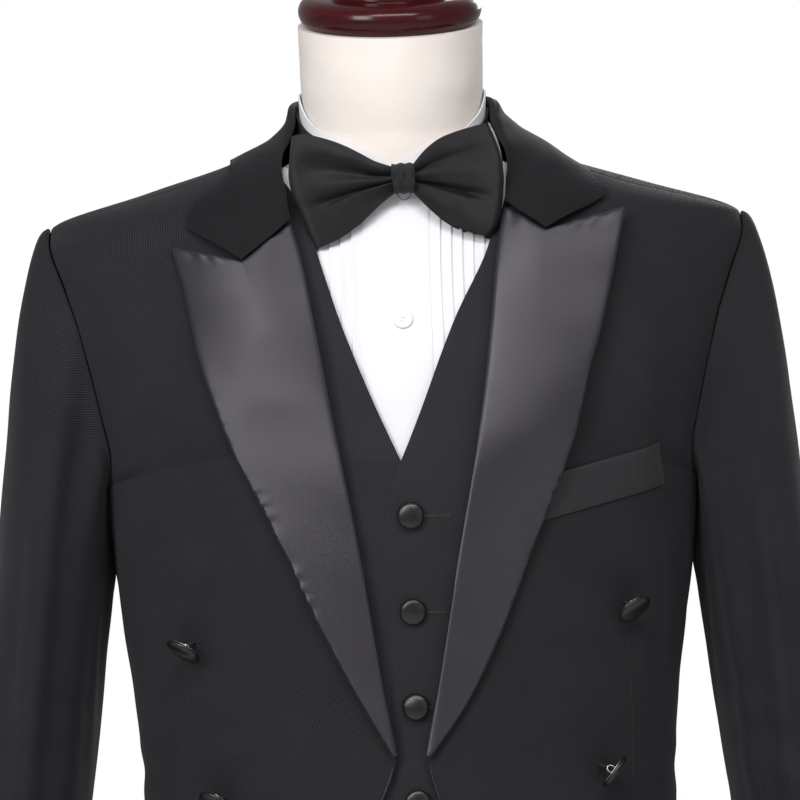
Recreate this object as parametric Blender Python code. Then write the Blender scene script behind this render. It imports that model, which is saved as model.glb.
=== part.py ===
"""Tailcoat suit worn by a limbless dress form: tailcoat with satin peaked lapels, waistcoat,
pleated shirt front with a standing collar, bow tie, trousers, and the form with its cap and stand.

Metres, +Z up, the front of the suit faces -Y, the wearer's left is +X.
The origin is the centre of the stand's underside. Left and right are the wearer's.
"""

import math

import bpy
import numpy as np

# Cloth thicknesses and the gaps between layers
COAT_WALL = 0.0016
VEST_WALL = 0.0016
SHIRT_WALL = 0.0013
TROUSER_WALL = 0.0015
SATIN_WALL = 0.0013
SEAM_GAP = 0.0003

# How far each layer's inside lies off the dress form
SHIRT_LIFT = 0.0012
VEST_LIFT = 0.0054
VEST_WAIST_LIFT = 0.0070

# Heights
TAIL_HEM = 0.50
WAIST_SEAM = 1.065
COAT_FRONT_HEM = 1.043
SHOULDER_END = 1.4566
FORM_BOTTOM = 0.905
FORM_TOP = 1.580
TROUSER_TOP = 1.105
CROTCH = 0.815
# How far the neck's top leans towards the front
NECK_TILT = 0.25

# Sections of the dress form: height, half width, front depth, back depth, squareness
FORM_SECTIONS = (
    (0.905, 0.1640, 0.1060, 0.1240, 2.3),
    (0.960, 0.1640, 0.1110, 0.1220, 2.3),
    (1.020, 0.1550, 0.1090, 0.1080, 2.3),
    (1.065, 0.1500, 0.1070, 0.0985, 2.3),
    (1.100, 0.1485, 0.1050, 0.0950, 2.3),
    (1.165, 0.1520, 0.1070, 0.0990, 2.3),
    (1.210, 0.1570, 0.1110, 0.1050, 2.3),
    (1.250, 0.1620, 0.1150, 0.1100, 2.3),
    (1.300, 0.1680, 0.1180, 0.1140, 2.3),
    (1.340, 0.1740, 0.1130, 0.1150, 2.3),
    (1.380, 0.1800, 0.1030, 0.1110, 2.3),
    (1.410, 0.1840, 0.0915, 0.1030, 2.2),
    (1.430, 0.1820, 0.0830, 0.0950, 2.1),
    (1.4425, 0.1730, 0.0770, 0.0890, 2.0),
    (1.468, 0.1230, 0.0670, 0.0750, 2.0),
    (1.484, 0.0860, 0.0610, 0.0660, 2.0),
    (1.497, 0.0630, 0.0580, 0.0585, 2.0),
    (1.515, 0.0563, 0.0555, 0.0557, 2.0),
    (1.530, 0.0566, 0.0558, 0.0560, 2.0),
    (1.545, 0.0572, 0.0565, 0.0565, 2.0),
    (1.580, 0.0578, 0.0570, 0.0570, 2.0),
)

# Sections of the coat's outer face: height, half width, front depth, back depth, squareness
COAT_SECTIONS = (
    (0.480, 0.1740, 0.1000, 0.1480, 2.2),
    (0.800, 0.1800, 0.1100, 0.1500, 2.2),
    (0.950, 0.1800, 0.1280, 0.1450, 2.2),
    (1.020, 0.1715, 0.1230, 0.1270, 2.3),
    (1.065, 0.1665, 0.1205, 0.1165, 2.3),
    (1.100, 0.1655, 0.1185, 0.1120, 2.3),
    (1.165, 0.1700, 0.1205, 0.1140, 2.3),
    (1.210, 0.1765, 0.1240, 0.1190, 2.3),
    (1.250, 0.1810, 0.1275, 0.1240, 2.3),
    (1.300, 0.1850, 0.1300, 0.1290, 2.3),
    (1.340, 0.1940, 0.1265, 0.1300, 2.3),
    (1.380, 0.2040, 0.1165, 0.1270, 2.3),
    (1.420, 0.2130, 0.1010, 0.1180, 2.2),
    (1.445, 0.2175, 0.0890, 0.1070, 2.2),
    (1.4566, 0.2150, 0.0840, 0.1000, 2.1),
    (1.4787, 0.1520, 0.0755, 0.0860, 2.0),
    (1.4934, 0.1050, 0.0700, 0.0760, 2.0),
    (1.507, 0.0745, 0.0655, 0.0690, 2.0),
    (1.520, 0.0635, 0.0625, 0.0640, 2.0),
    (1.534, 0.0615, 0.0610, 0.0630, 2.0),
    (1.560, 0.0612, 0.0605, 0.0628, 2.0),
)

# Sections of the trousers' outer face above the crotch
TROUSER_SECTIONS = (
    (0.740, 0.1700, 0.1000, 0.1150, 2.2),
    (0.840, 0.1730, 0.1080, 0.1260, 2.3),
    (0.905, 0.1735, 0.1145, 0.1355, 2.3),
    (0.960, 0.1690, 0.1150, 0.1270, 2.3),
    (1.020, 0.1586, 0.1126, 0.1120, 2.3),
    (1.065, 0.1530, 0.1100, 0.1018, 2.3),
    (1.110, 0.1515, 0.1080, 0.0980, 2.3),
)

# The fold of each lapel and its outer edge, from the bottom up: across, height
LAPEL_ROLL = {
    "left": ((0.0095, 1.1335), (0.0176, 1.1705), (0.0296, 1.2368), (0.0450, 1.3198), (0.0548, 1.3856),
             (0.0612, 1.4370), (0.0660, 1.4600)),
    "right": ((0.0067, 1.1339), (0.0141, 1.1743), (0.0233, 1.2364), (0.0399, 1.3334), (0.0514, 1.3998),
              (0.0575, 1.4325), (0.0630, 1.4529)),
}
LAPEL_EDGE = {
    "left": ((0.0124, 1.1325), (0.0342, 1.1628), (0.0513, 1.1960), (0.0725, 1.2471), (0.0964, 1.3125),
             (0.1095, 1.3565), (0.1186, 1.3833), (0.1313, 1.4322), (0.1379, 1.4554)),
    "right": ((0.0096, 1.1329), (0.0355, 1.1809), (0.0540, 1.2192), (0.0675, 1.2508), (0.0833, 1.2842),
              (0.1000, 1.3189), (0.1180, 1.3739), (0.1288, 1.4192), (0.1357, 1.4404)),
}
# The notch where collar and lapel part, and the collar's tip: across, height
NOTCH = {"left": (0.0897, 1.4445), "right": (0.0920, 1.4295)}
COLLAR_TIP = {"left": (0.1274, 1.4641), "right": (0.1263, 1.4515)}

# The collar's fold from the centre back round to the gorge: turn in degrees, height
COLLAR_FOLD = {
    "left": ((90, 1.5380), (75, 1.5380), (60, 1.5377), (45, 1.5370), (30, 1.5358), (15, 1.5335), (0, 1.5295),
             (-15, 1.5200), (-27, 1.5075), (-38, 1.4930), (-45.5, 1.4770), (-49.6, 1.4625)),
    "right": ((90, 1.5380), (75, 1.5380), (60, 1.5377), (45, 1.5370), (30, 1.5358), (15, 1.5335), (0, 1.5295),
              (-15, 1.5200), (-28, 1.5065), (-40, 1.4900), (-48, 1.4715), (-52.4, 1.4545)),
}
# The seam that joins the collar's stand to the neck, at the same places round the neck
NECK_SEAM = {
    "left": ((90, 1.5030), (75, 1.5035), (60, 1.5045), (45, 1.5055), (30, 1.5062), (15, 1.5068), (0, 1.5070),
             (-15, 1.5038), (-25, 1.4965), (-33, 1.4860), (-38.5, 1.4745), (-44.5, 1.4632)),
    "right": ((90, 1.5030), (75, 1.5035), (60, 1.5045), (45, 1.5055), (30, 1.5062), (15, 1.5068), (0, 1.5070),
              (-15, 1.5038), (-26, 1.4950), (-35, 1.4820), (-41, 1.4680), (-47.5, 1.4550)),
}
# The collar's outer edge on the coat, at the same places; its front end is the tip
COLLAR_EDGE = {
    "left": ((90, 1.4940), (75, 1.4942), (60, 1.4945), (45, 1.4950), (30, 1.4955), (15, 1.4960), (3, 1.4960),
             (-6, 1.4945), (-14, 1.4900), (-21, 1.4790)),
    "right": ((90, 1.4940), (75, 1.4942), (60, 1.4945), (45, 1.4948), (30, 1.4950), (15, 1.4952), (2, 1.4950),
              (-8, 1.4942), (-17, 1.4915), (-25.5, 1.4845)),
}
# How much further the leaf stands off beside the neck
COLLAR_PUFF = {"left": 0.0050, "right": 0.0004}
SHOULDER_SEAM = ((-15, 1.5038), (-18, 1.4934), (-15, 1.4793), (-9, 1.4670), (-1, SHOULDER_END - 0.0005))

# Armhole of the coat: angle from the top, turn towards the front and turn towards the back, in degrees
ARMHOLE_TURNS = (
    (0, 1.0, 1.0), (30, 4.5, 5.0), (60, 9.2, 12.0), (80, 13.0, 16.0), (105, 15.1, 19.0), (130, 15.9, 19.5),
    (150, 13.5, 15.5), (165, 8.5, 9.0), (180, 0.0, 0.0),
)
ARMHOLE_MIDDLE = 1.3731
ARMHOLE_HALF = 0.0835
FRONT_ARMHOLE_STEPS = 10
SIDE_ARMHOLE_STEPS = 4
BACK_ARMHOLE_STEPS = 6
SIDE_ARMHOLE_ANGLE = 245

# Coat sleeve below the cap: height, centre across, centre depth, half width, half depth
SLEEVE_SECTIONS = (
    (1.240, 0.2195, 0.0040, 0.0365, 0.0790),
    (1.190, 0.2260, 0.0060, 0.0370, 0.0770),
    (1.130, 0.2335, 0.0060, 0.0375, 0.0740),
    (1.070, 0.2410, 0.0020, 0.0375, 0.0705),
    (1.000, 0.2490, -0.0070, 0.0365, 0.0660),
    (0.930, 0.2565, -0.0190, 0.0350, 0.0610),
    (0.865, 0.2630, -0.0320, 0.0335, 0.0565),
    (0.835, 0.2660, -0.0385, 0.0330, 0.0545),
)

# Trouser leg below the crotch: height, centre across, centre depth, half width, half depth
LEG_SECTIONS = (
    (0.740, 0.0865, 0.0060, 0.0825, 0.0990),
    (0.640, 0.0880, 0.0060, 0.0770, 0.0925),
    (0.540, 0.0900, 0.0055, 0.0705, 0.0865),
    (0.440, 0.0920, 0.0050, 0.0655, 0.0815),
    (0.300, 0.0945, 0.0060, 0.0610, 0.0770),
    (0.160, 0.0965, 0.0070, 0.0575, 0.0735),
    (0.046, 0.0980, 0.0070, 0.0560, 0.0720),
)
# The middle seam between the waist's front and back ends: depth, height
CROTCH_SEAM = ((-0.1150, 0.990), (-0.1145, 0.905), (-0.088, 0.845), (-0.035, 0.818), (0.012, CROTCH),
               (0.062, 0.829), (0.116, 0.862), (0.1372, 0.904), (0.1215, 0.990))

# Waistcoat: the edge of its V, from the point up: across, height
VEST_V = {
    "left": ((0.0000, 1.3084), (0.0320, 1.3870), (0.0525, 1.4280), (0.0600, 1.4470), (0.0690, 1.4740),
             (0.0745, 1.4820), (0.0772, 1.4868)),
    "right": ((0.0000, 1.3084), (0.0330, 1.3870), (0.0490, 1.4370), (0.0570, 1.4510), (0.0640, 1.4690),
              (0.0700, 1.4770), (0.0772, 1.4868)),
}
VEST_OVERLAP = 0.010
VEST_POINT = 1.000
# The hem past the point: its corner (across, height) and where it nears the side (turn in degrees, height)
VEST_HEM_CORNER = (0.055, 1.012)
VEST_HEM_SIDE = (-30, 1.028)
VEST_SIDE_HEM = 1.030
VEST_BUTTON_HEIGHTS = (1.2765, 1.2190, 1.1620, 1.1045, 1.0470)
VEST_BUTTON_ACROSS = 0.0045
VEST_BUTTON_RADIUS = 0.0080

# Coat buttons, two on each front: side, middle across, height, tilt from the cloth, way they hang
COAT_BUTTONS = (
    ("left", 0.1328, 1.2170, 40, 18),
    ("left", 0.1175, 1.1200, 62, 52),
    ("right", 0.1287, 1.1990, 50, -20),
    ("right", 0.1130, 1.1060, 42, -20),
)
COAT_BUTTON_RADIUS = 0.0110
COAT_SHANK = 0.0050

# Breast pocket welt on the wearer's left: across and height of its corners, from bottom inner round
WELT_CORNERS = ((0.0840, 1.2715), (0.1594, 1.2898), (0.1571, 1.3151), (0.0840, 1.2970))

# Shirt front: plain placket in the middle, then tucks on both sides
TUCK_COUNT = 8
TUCK_WIDTH = 0.0066
TUCK_RISE = 0.0009
PLACKET_HALF = 0.0205
BIB_BOTTOM = 1.120
BIB_ROWS = (0.0, 0.27, 0.53, 0.65, 0.76, 0.85, 0.93, 1.0)
SHIRT_BUTTON_HEIGHT = 1.3917
SHIRT_BUTTON_RADIUS = 0.0057

# Bow tie: how far each wing reaches from the knot
BOW_CENTRE = (0.0055, -0.0790, 1.4790)
BOW_REACH = {"left": 0.0585, "right": 0.0660}
BOW_END_HALF = 0.0345
BOW_WAIST_HALF = 0.0085
BOW_LOOP_DEPTH = 0.0085
BOW_TILT = 2.0
# The knot: half its width, depth and height, and how far its middle lies in front of the bow's
KNOT_HALVES = (0.0068, 0.0052, 0.0102)
KNOT_FORWARD = 0.0012

# The form's cap: radius and height, from its underside to the knob's top
CAP_PROFILE = (
    (0, 0.0003), (0.0530, 0.0003), (0.0560, 0.0040), (0.0574, 0.0095), (0.0556, 0.0150), (0.0500, 0.0182),
    (0.0372, 0.0198), (0.0360, 0.0300), (0.0300, 0.0340), (0.0130, 0.0360), (0.0120, 0.0430),
    (0.0185, 0.0500), (0.0210, 0.0600), (0.0170, 0.0700), (0, 0.0762),
)

# Stand
POLE_ACROSS = 0.092
POLE_RADIUS = 0.0125
FLANGE_RADIUS = 0.032
BASE_RADIUS = 0.190
BASE_HEIGHT = 0.006

SIDES = (("left", 1), ("right", -1))

COLOURS = {
    "wool": ((0.020, 0.020, 0.023), 0.85, 0.0),
    "satin": ((0.035, 0.032, 0.038), 0.38, 0.0),
    "shirt_cotton": ((0.86, 0.86, 0.88), 0.80, 0.0),
    "form_linen": ((0.72, 0.66, 0.58), 0.90, 0.0),
    "wood": ((0.075, 0.006, 0.008), 0.22, 0.0),
    "steel": ((0.62, 0.62, 0.64), 0.30, 1.0),
    "pearl_button": ((0.84, 0.83, 0.82), 0.30, 0.0),
}


def smooth_curve(places, values):
    """A cubic through the points that never overshoots them, as a function."""
    places, values = np.array(places, float), np.array(values, float)
    steps = np.diff(places)
    slopes = np.diff(values) / steps
    tangents = np.zeros_like(values)
    tangents[0], tangents[-1] = slopes[0], slopes[-1]
    for i in range(1, len(places) - 1):
        if slopes[i - 1] * slopes[i] > 0:
            before, after = 2 * steps[i] + steps[i - 1], steps[i] + 2 * steps[i - 1]
            tangents[i] = (before + after) / (before / slopes[i - 1] + after / slopes[i])

    def value(x):
        x = np.clip(x, places[0], places[-1])
        i = np.clip(np.searchsorted(places, x) - 1, 0, len(places) - 2)
        t = (x - places[i]) / steps[i]
        rising = (1 + 2 * t) * (1 - t) ** 2 * values[i] + t * t * (3 - 2 * t) * values[i + 1]
        bending = t * (1 - t) ** 2 * tangents[i] + t * t * (t - 1) * tangents[i + 1]
        return rising + steps[i] * bending

    return value


def ease(low, high, x):
    """0 at low, 1 at high, smooth between and level beyond."""
    t = np.clip((np.asarray(x, float) - low) / (high - low), 0, 1)
    return t * t * (3 - 2 * t)


class Body:
    """A torso, or the cloth round it, as oval horizontal sections. turn 0 is +X, -90 degrees the front."""

    def __init__(self, sections, tilt=0.0):
        heights, halves, fronts, backs, squares = zip(*sorted(sections))
        self.half = smooth_curve(heights, halves)
        self.front = smooth_curve(heights, fronts)
        self.back = smooth_curve(heights, backs)
        self.square = smooth_curve(heights, squares)
        self.tilt = tilt

    def point(self, turn, z):
        turn, z = np.broadcast_arrays(np.asarray(turn, float), np.asarray(z, float))
        across, along = np.cos(turn), np.sin(turn)
        depth = np.where(along < 0, self.front(z), self.back(z))
        power = self.square(z)
        reach = (abs(across / self.half(z)) ** power + abs(along / depth) ** power) ** (-1 / power)
        lean = self.tilt * ease(1.49, 1.56, z) * reach * along
        return np.stack([reach * across, reach * along, z + lean], axis=-1)

    def normal(self, turn, z, step=0.002):
        around = self.point(turn + 0.02, z) - self.point(turn - 0.02, z)
        upward = self.point(turn, z + step) - self.point(turn, z - step)
        out = np.cross(around, upward)
        return out / np.linalg.norm(out, axis=-1, keepdims=True)

    def lifted(self, turn, z, lift):
        lift = np.asarray(lift, float)[..., None]
        return self.point(turn, z) + self.normal(turn, z) * lift

    def turn_at(self, across, z, behind=False):
        """The turn of the point this far across, on the front or the back."""
        across, z = np.asarray(across, float), np.asarray(z, float)
        power = self.square(z)
        share = np.clip(1 - abs(across / self.half(z)) ** power, 0, 1) ** (1 / power)
        depth = self.back(z) * share if behind else -self.front(z) * share
        return np.arctan2(depth, across)

    def curve(self, table, behind=False):
        """(turn, height) rows for a table of (across, height)."""
        rows = np.array(table, float)
        return np.stack([self.turn_at(rows[:, 0], rows[:, 1], behind), rows[:, 1]], axis=-1)


FORM = Body(FORM_SECTIONS, NECK_TILT)
COAT = Body(COAT_SECTIONS)
TROUSERS = Body(TROUSER_SECTIONS)

# One radian of turn is about this far round the body, so curves are divided evenly
TURN_REACH = 0.16


def divide(curve, steps, reach=TURN_REACH, crowd=1.0):
    """The curve's points spaced evenly: steps + 1 of them. A larger crowd moves them towards its end."""
    curve = np.array(curve, float)
    scaled = curve * np.array([reach] + [1.0] * (curve.shape[1] - 1))
    far = np.concatenate([[0], np.cumsum(np.linalg.norm(np.diff(scaled, axis=0), axis=1))])
    places = far[-1] * (1 - (1 - np.linspace(0, 1, steps + 1)) ** crowd)
    return np.stack([np.interp(places, far, column) for column in curve.T], axis=-1)


def join(*curves):
    """Curves end to end, each starting where the last one stopped."""
    return np.concatenate([curves[0]] + [c[1:] for c in curves[1:]])


def shifted(curve, turn=0.0, height=0.0):
    return np.asarray(curve, float) + np.array([turn, height])


def fill_patch(bottom, top, left, right, grip=1.0):
    """A grid between four edges. bottom and top run left to right, left and right run upward.
    A larger grip keeps the bends of bottom and top nearer to those edges."""
    across = np.linspace(0, 1, len(bottom))[None, :, None]
    upward = np.linspace(0, 1, len(left))[:, None, None]
    straight = (1 - across) * left[:, None] + across * right[:, None]
    low = bottom[None] - (1 - across) * bottom[0] - across * bottom[-1]
    high = top[None] - (1 - across) * top[0] - across * top[-1]
    return straight + (1 - upward) ** grip * low + upward ** grip * high


def grid_normals(points, wrap=False):
    """Unit normals of a grid of points, from its neighbours along rows and columns."""
    if wrap:
        across = np.roll(points, -1, axis=1) - np.roll(points, 1, axis=1)
    else:
        across = np.gradient(points, axis=1)
    upward = np.gradient(points, axis=0)
    out = np.cross(across, upward)
    return out / np.maximum(np.linalg.norm(out, axis=-1, keepdims=True), 1e-12)


def material(slot):
    if slot in bpy.data.materials:
        return bpy.data.materials[slot]
    colour, roughness, metallic = COLOURS[slot]
    made = bpy.data.materials.new(slot)
    made.use_nodes = True
    shader = made.node_tree.nodes["Principled BSDF"]
    shader.inputs["Base Color"].default_value = (*colour, 1)
    shader.inputs["Roughness"].default_value = roughness
    shader.inputs["Metallic"].default_value = metallic
    made.diffuse_color = (*colour, 1)
    return made


def signed_volume(points, faces):
    total = 0.0
    for face in faces:
        a = points[face[0]]
        for b, c in zip(face[1:-1], face[2:]):
            total += np.dot(a, np.cross(points[b], points[c]))
    return total


def add_object(name, points, faces, slot):
    """A mesh object with its faces pointing out."""
    points = np.asarray(points, float)
    if signed_volume(points, faces) < 0:
        faces = [tuple(reversed(face)) for face in faces]
    mesh = bpy.data.meshes.new(name)
    mesh.from_pydata([tuple(p) for p in points], [], faces)
    mesh.update()
    mesh.materials.append(material(slot))
    mesh.shade_smooth()
    mesh.set_sharp_from_angle(angle=math.radians(50))
    made = bpy.data.objects.new(name, mesh)
    bpy.context.scene.collection.objects.link(made)
    return made


def wall(name, outer, inner, slot, wrap=False):
    """A closed wall of cloth between two grids of the same shape. wrap closes each row into a ring."""
    rows, columns = outer.shape[:2]
    points = np.concatenate([outer.reshape(-1, 3), inner.reshape(-1, 3)])
    behind = rows * columns
    last = columns if wrap else columns - 1
    faces = []
    for r in range(rows - 1):
        for c in range(last):
            d = (c + 1) % columns
            low, high = r * columns, (r + 1) * columns
            faces.append((low + c, low + d, high + d, high + c))
            faces.append((behind + low + c, behind + high + c, behind + high + d, behind + low + d))
    for r, turned in ((0, False), (rows - 1, True)):
        for c in range(last):
            d = (c + 1) % columns
            a, b = r * columns + c, r * columns + d
            face = (a, behind + a, behind + b, b)
            faces.append(tuple(reversed(face)) if turned else face)
    if not wrap:
        for c, turned in ((0, True), (columns - 1, False)):
            for r in range(rows - 1):
                a, b = r * columns + c, (r + 1) * columns + c
                face = (a, behind + a, behind + b, b)
                faces.append(tuple(reversed(face)) if turned else face)
    return add_object(name, points, faces, slot)


# Outer faces of the panels, for what is sewn on them
PANELS = {}


def body_wall(name, body, grid, lift, thickness, slot):
    """A wall on a body's surface. Its inside is lift off the surface, which may vary over the grid."""
    turn, height = grid[..., 0], grid[..., 1]
    lift = np.broadcast_to(np.asarray(lift, float), turn.shape)
    inner = body.lifted(turn, height, lift)
    outer = body.lifted(turn, height, lift + thickness)
    PANELS[name] = outer
    return wall(name, outer, inner, slot)


def seat_on(name, across, height):
    """The point and the normal of a front panel's outer face at this place across and up."""
    grid = PANELS[name]
    for r in range(grid.shape[0] - 1):
        for c in range(grid.shape[1] - 1):
            square = [grid[r, c], grid[r, c + 1], grid[r + 1, c + 1], grid[r + 1, c]]
            for a, b, d in ((square[0], square[1], square[2]), (square[0], square[2], square[3])):
                sides = np.array([[b[0] - a[0], d[0] - a[0]], [b[2] - a[2], d[2] - a[2]]])
                if abs(np.linalg.det(sides)) < 1e-12:
                    continue
                u, v = np.linalg.solve(sides, np.array([across - a[0], height - a[2]]))
                if u >= -1e-9 and v >= -1e-9 and u + v <= 1 + 1e-9:
                    out = np.cross(b - a, d - a)
                    out = out / np.linalg.norm(out)
                    return a + u * (b - a) + v * (d - a), out if out[1] < 0 else -out
    return None


def mirror_turns(grid):
    """The same (turn, height) grid on the other side of the body."""
    made = grid.copy()
    made[..., 0] = math.pi - made[..., 0]
    return made


def mirror_points(points):
    return points * np.array([-1.0, 1.0, 1.0])


def ring_round(centre, axis, radius, segments):
    axis = np.array(axis, float) / np.linalg.norm(axis)
    helper = np.array([1.0, 0, 0]) if abs(axis[0]) < 0.8 else np.array([0, 0, 1.0])
    side = np.cross(axis, helper)
    side /= np.linalg.norm(side)
    other = np.cross(axis, side)
    angles = 2 * math.pi * np.arange(segments) / segments
    return np.array(centre) + radius * (np.cos(angles)[:, None] * side + np.sin(angles)[:, None] * other)


def stack_rings(name, rings, first, last, slot):
    """A solid through a stack of rings, closed by a point at each end."""
    segments = len(rings[0])
    points = [first] + [point for ring in rings for point in ring] + [last]
    faces = []
    for k in range(segments):
        n = (k + 1) % segments
        faces.append((0, 1 + n, 1 + k))
        for ring in range(len(rings) - 1):
            low, high = 1 + ring * segments, 1 + (ring + 1) * segments
            faces.append((low + k, low + n, high + n, high + k))
        top = 1 + (len(rings) - 1) * segments
        faces.append((top + k, top + n, len(points) - 1))
    return add_object(name, points, faces, slot)


def lathe(name, profile, slot, centre, axis, segments=24):
    """A solid turned round an axis. profile is (radius, height) from the bottom's middle to the top's."""
    axis = np.array(axis, float) / np.linalg.norm(axis)
    centre = np.array(centre, float)
    rings = [ring_round(centre + axis * height, axis, radius, segments) for radius, height in profile[1:-1]]
    return stack_rings(name, rings, centre + axis * profile[0][1], centre + axis * profile[-1][1], slot)


# Coat panels

def armhole(angle):
    """(turn, height) on the coat's left armhole. angle 0 is the top and 90 degrees the front."""
    angle = np.asarray(angle, float)
    degrees = np.degrees(np.minimum(angle, 2 * math.pi - angle))
    places, fronts, backs = zip(*ARMHOLE_TURNS)
    forward = smooth_curve(places, fronts)(degrees)
    behind = smooth_curve(places, backs)(degrees)
    behind = np.where(degrees < 1e-6, -1.0, behind - 2 * ease(30, 0, degrees))
    turn = np.where(angle <= math.pi, -forward, behind)
    return np.stack([np.radians(turn), ARMHOLE_MIDDLE + ARMHOLE_HALF * np.cos(angle)], axis=-1)


FRONT_ARMHOLE_ANGLES = np.radians(np.linspace(180, 0, FRONT_ARMHOLE_STEPS + 1))
SIDE_ARMHOLE_ANGLES = np.radians(np.linspace(180, SIDE_ARMHOLE_ANGLE, SIDE_ARMHOLE_STEPS + 1))
BACK_ARMHOLE_ANGLES = np.radians(np.linspace(SIDE_ARMHOLE_ANGLE, 360, BACK_ARMHOLE_STEPS + 1))

BELOW_ARM_STEPS = 8
TAIL_STEPS = 6
HALF_SEAM_TURN = 0.5 * SEAM_GAP / TURN_REACH + 0.0008


def side_seam():
    """The seam between front and side panel, from the waist up to the armhole."""
    bottom = (math.radians(10), WAIST_SEAM)
    middle = (math.radians(5), 1.180)
    return divide([bottom, middle, tuple(armhole(math.pi))], BELOW_ARM_STEPS)


def back_seam():
    """The curved seam between side panel and back, from the waist up to the armhole."""
    rows = [(70, WAIST_SEAM), (66, 1.120), (58, 1.190), (46, 1.260), (33, 1.310)]
    points = [(math.radians(turn), z) for turn, z in rows]
    points.append(tuple(armhole(math.radians(SIDE_ARMHOLE_ANGLE))))
    return divide(points, BELOW_ARM_STEPS)


def pleat_line():
    """The fold beside the back vent, from the tail's hem up to the waist."""
    rows = [(71, TAIL_HEM), (70, 0.70), (69, 0.90), (70, WAIST_SEAM)]
    return divide([(math.radians(turn), z) for turn, z in rows], TAIL_STEPS)


ROLL_STEPS = 13
SHOULDER_STEPS = 6


def shoulder_seam(steps):
    return divide([(math.radians(turn), z) for turn, z in SHOULDER_SEAM], steps)


def neck_seam(side):
    return np.array([(math.radians(turn), z) for turn, z in NECK_SEAM[side]])


def front_edge(side):
    """The coat's front edge, from the hem up along the lapel's fold and round the neck to the shoulder."""
    roll = np.array(LAPEL_ROLL[side])
    lower = np.array([(0.0350, COAT_FRONT_HEM), (0.0270, 1.0700), (0.0185, 1.1000)])
    across = np.concatenate([lower, roll + np.array([0.0012, 0.0])])
    straight = divide(COAT.curve(across), ROLL_STEPS)
    seam = neck_seam(side)
    return np.concatenate([straight, seam[seam[:, 0] < math.radians(-14)][::-1]])


def coat_front(side, sign):
    seam, hole = side_seam(), armhole(FRONT_ARMHOLE_ANGLES)
    right = shifted(join(seam, hole), -HALF_SEAM_TURN)
    left = front_edge(side)
    left[-1, 0] -= HALF_SEAM_TURN
    columns = SHOULDER_STEPS
    hem = [tuple(left[0]), (math.radians(-60), 1.048), (math.radians(-35), 1.058),
           (math.radians(-12), WAIST_SEAM + 0.0002), tuple(right[0])]
    bottom = divide(hem, columns)
    bottom[0], bottom[-1] = left[0], right[0]
    top = shifted(shoulder_seam(columns), -HALF_SEAM_TURN)
    right[-1] = top[-1]
    grid = fill_patch(bottom, top, left, right, 2.0)
    if sign < 0:
        grid = mirror_turns(grid)
    body_wall(f"coat_front_{side}", COAT, grid, -COAT_WALL, COAT_WALL, "wool")


def coat_side(side, sign):
    left = shifted(side_seam(), HALF_SEAM_TURN)
    right = shifted(back_seam(), -HALF_SEAM_TURN)
    top = shifted(armhole(SIDE_ARMHOLE_ANGLES), 0, -0.0004)
    top[0], top[-1] = left[-1], right[-1]
    bottom = divide([tuple(left[0]), tuple(right[0])], SIDE_ARMHOLE_STEPS)
    grid = fill_patch(bottom, top, left, right)
    if sign < 0:
        grid = mirror_turns(grid)
    body_wall(f"coat_side_{side}", COAT, grid, -COAT_WALL, COAT_WALL, "wool")


def coat_back(side, sign):
    """The back with the inner half of its tail, cut in one from neck to hem."""
    hole = armhole(BACK_ARMHOLE_ANGLES)
    left = shifted(join(pleat_line(), back_seam(), hole), HALF_SEAM_TURN)
    shoulder = shifted(shoulder_seam(SHOULDER_STEPS)[::-1], HALF_SEAM_TURN)
    left[-1] = shoulder[0]
    heights = left[:, 1].copy()
    hole_foot = hole[0][1]
    above = heights > hole_foot
    neck_back = NECK_SEAM[side][0][1]
    share = (heights[above] - hole_foot) / (heights[-1] - hole_foot)
    heights[above] = hole_foot + share * (neck_back - hole_foot)
    vent = 0.0004 + 0.006 * ease(WAIST_SEAM - 0.03, TAIL_HEM, heights)
    centre = COAT.turn_at(vent, heights, behind=True)
    right = np.stack([centre, heights], axis=-1)
    behind = neck_seam(side)[[6, 4, 2]]
    top = np.concatenate([shoulder, behind, right[-1:]])
    columns = len(top) - 1
    hem = divide([tuple(left[0]), tuple(right[0])], columns)
    grid = fill_patch(hem, top, left, right, 4.0)
    if sign < 0:
        grid = mirror_turns(grid)
    body_wall(f"coat_back_{side}", COAT, grid, -COAT_WALL, COAT_WALL, "wool")


def coat_skirt(side, sign):
    """The outer half of a tail, sewn on at the waist seam, its front edge curving back to the hem."""
    right = shifted(pleat_line(), -HALF_SEAM_TURN)
    edge = [(50, TAIL_HEM), (44, 0.62), (34, 0.78), (18, 0.92), (3, 1.02), (-11, WAIST_SEAM - 0.0009)]
    left = divide([(math.radians(turn), z) for turn, z in edge], TAIL_STEPS)
    right[-1][1] = WAIST_SEAM - 0.0009
    columns = 6
    bottom = divide([tuple(left[0]), tuple(right[0])], columns)
    top = divide([tuple(left[-1]), tuple(right[-1])], columns)
    grid = fill_patch(bottom, top, left, right)
    if sign < 0:
        grid = mirror_turns(grid)
    body_wall(f"coat_skirt_{side}", COAT, grid, -COAT_WALL, COAT_WALL, "wool")


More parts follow.
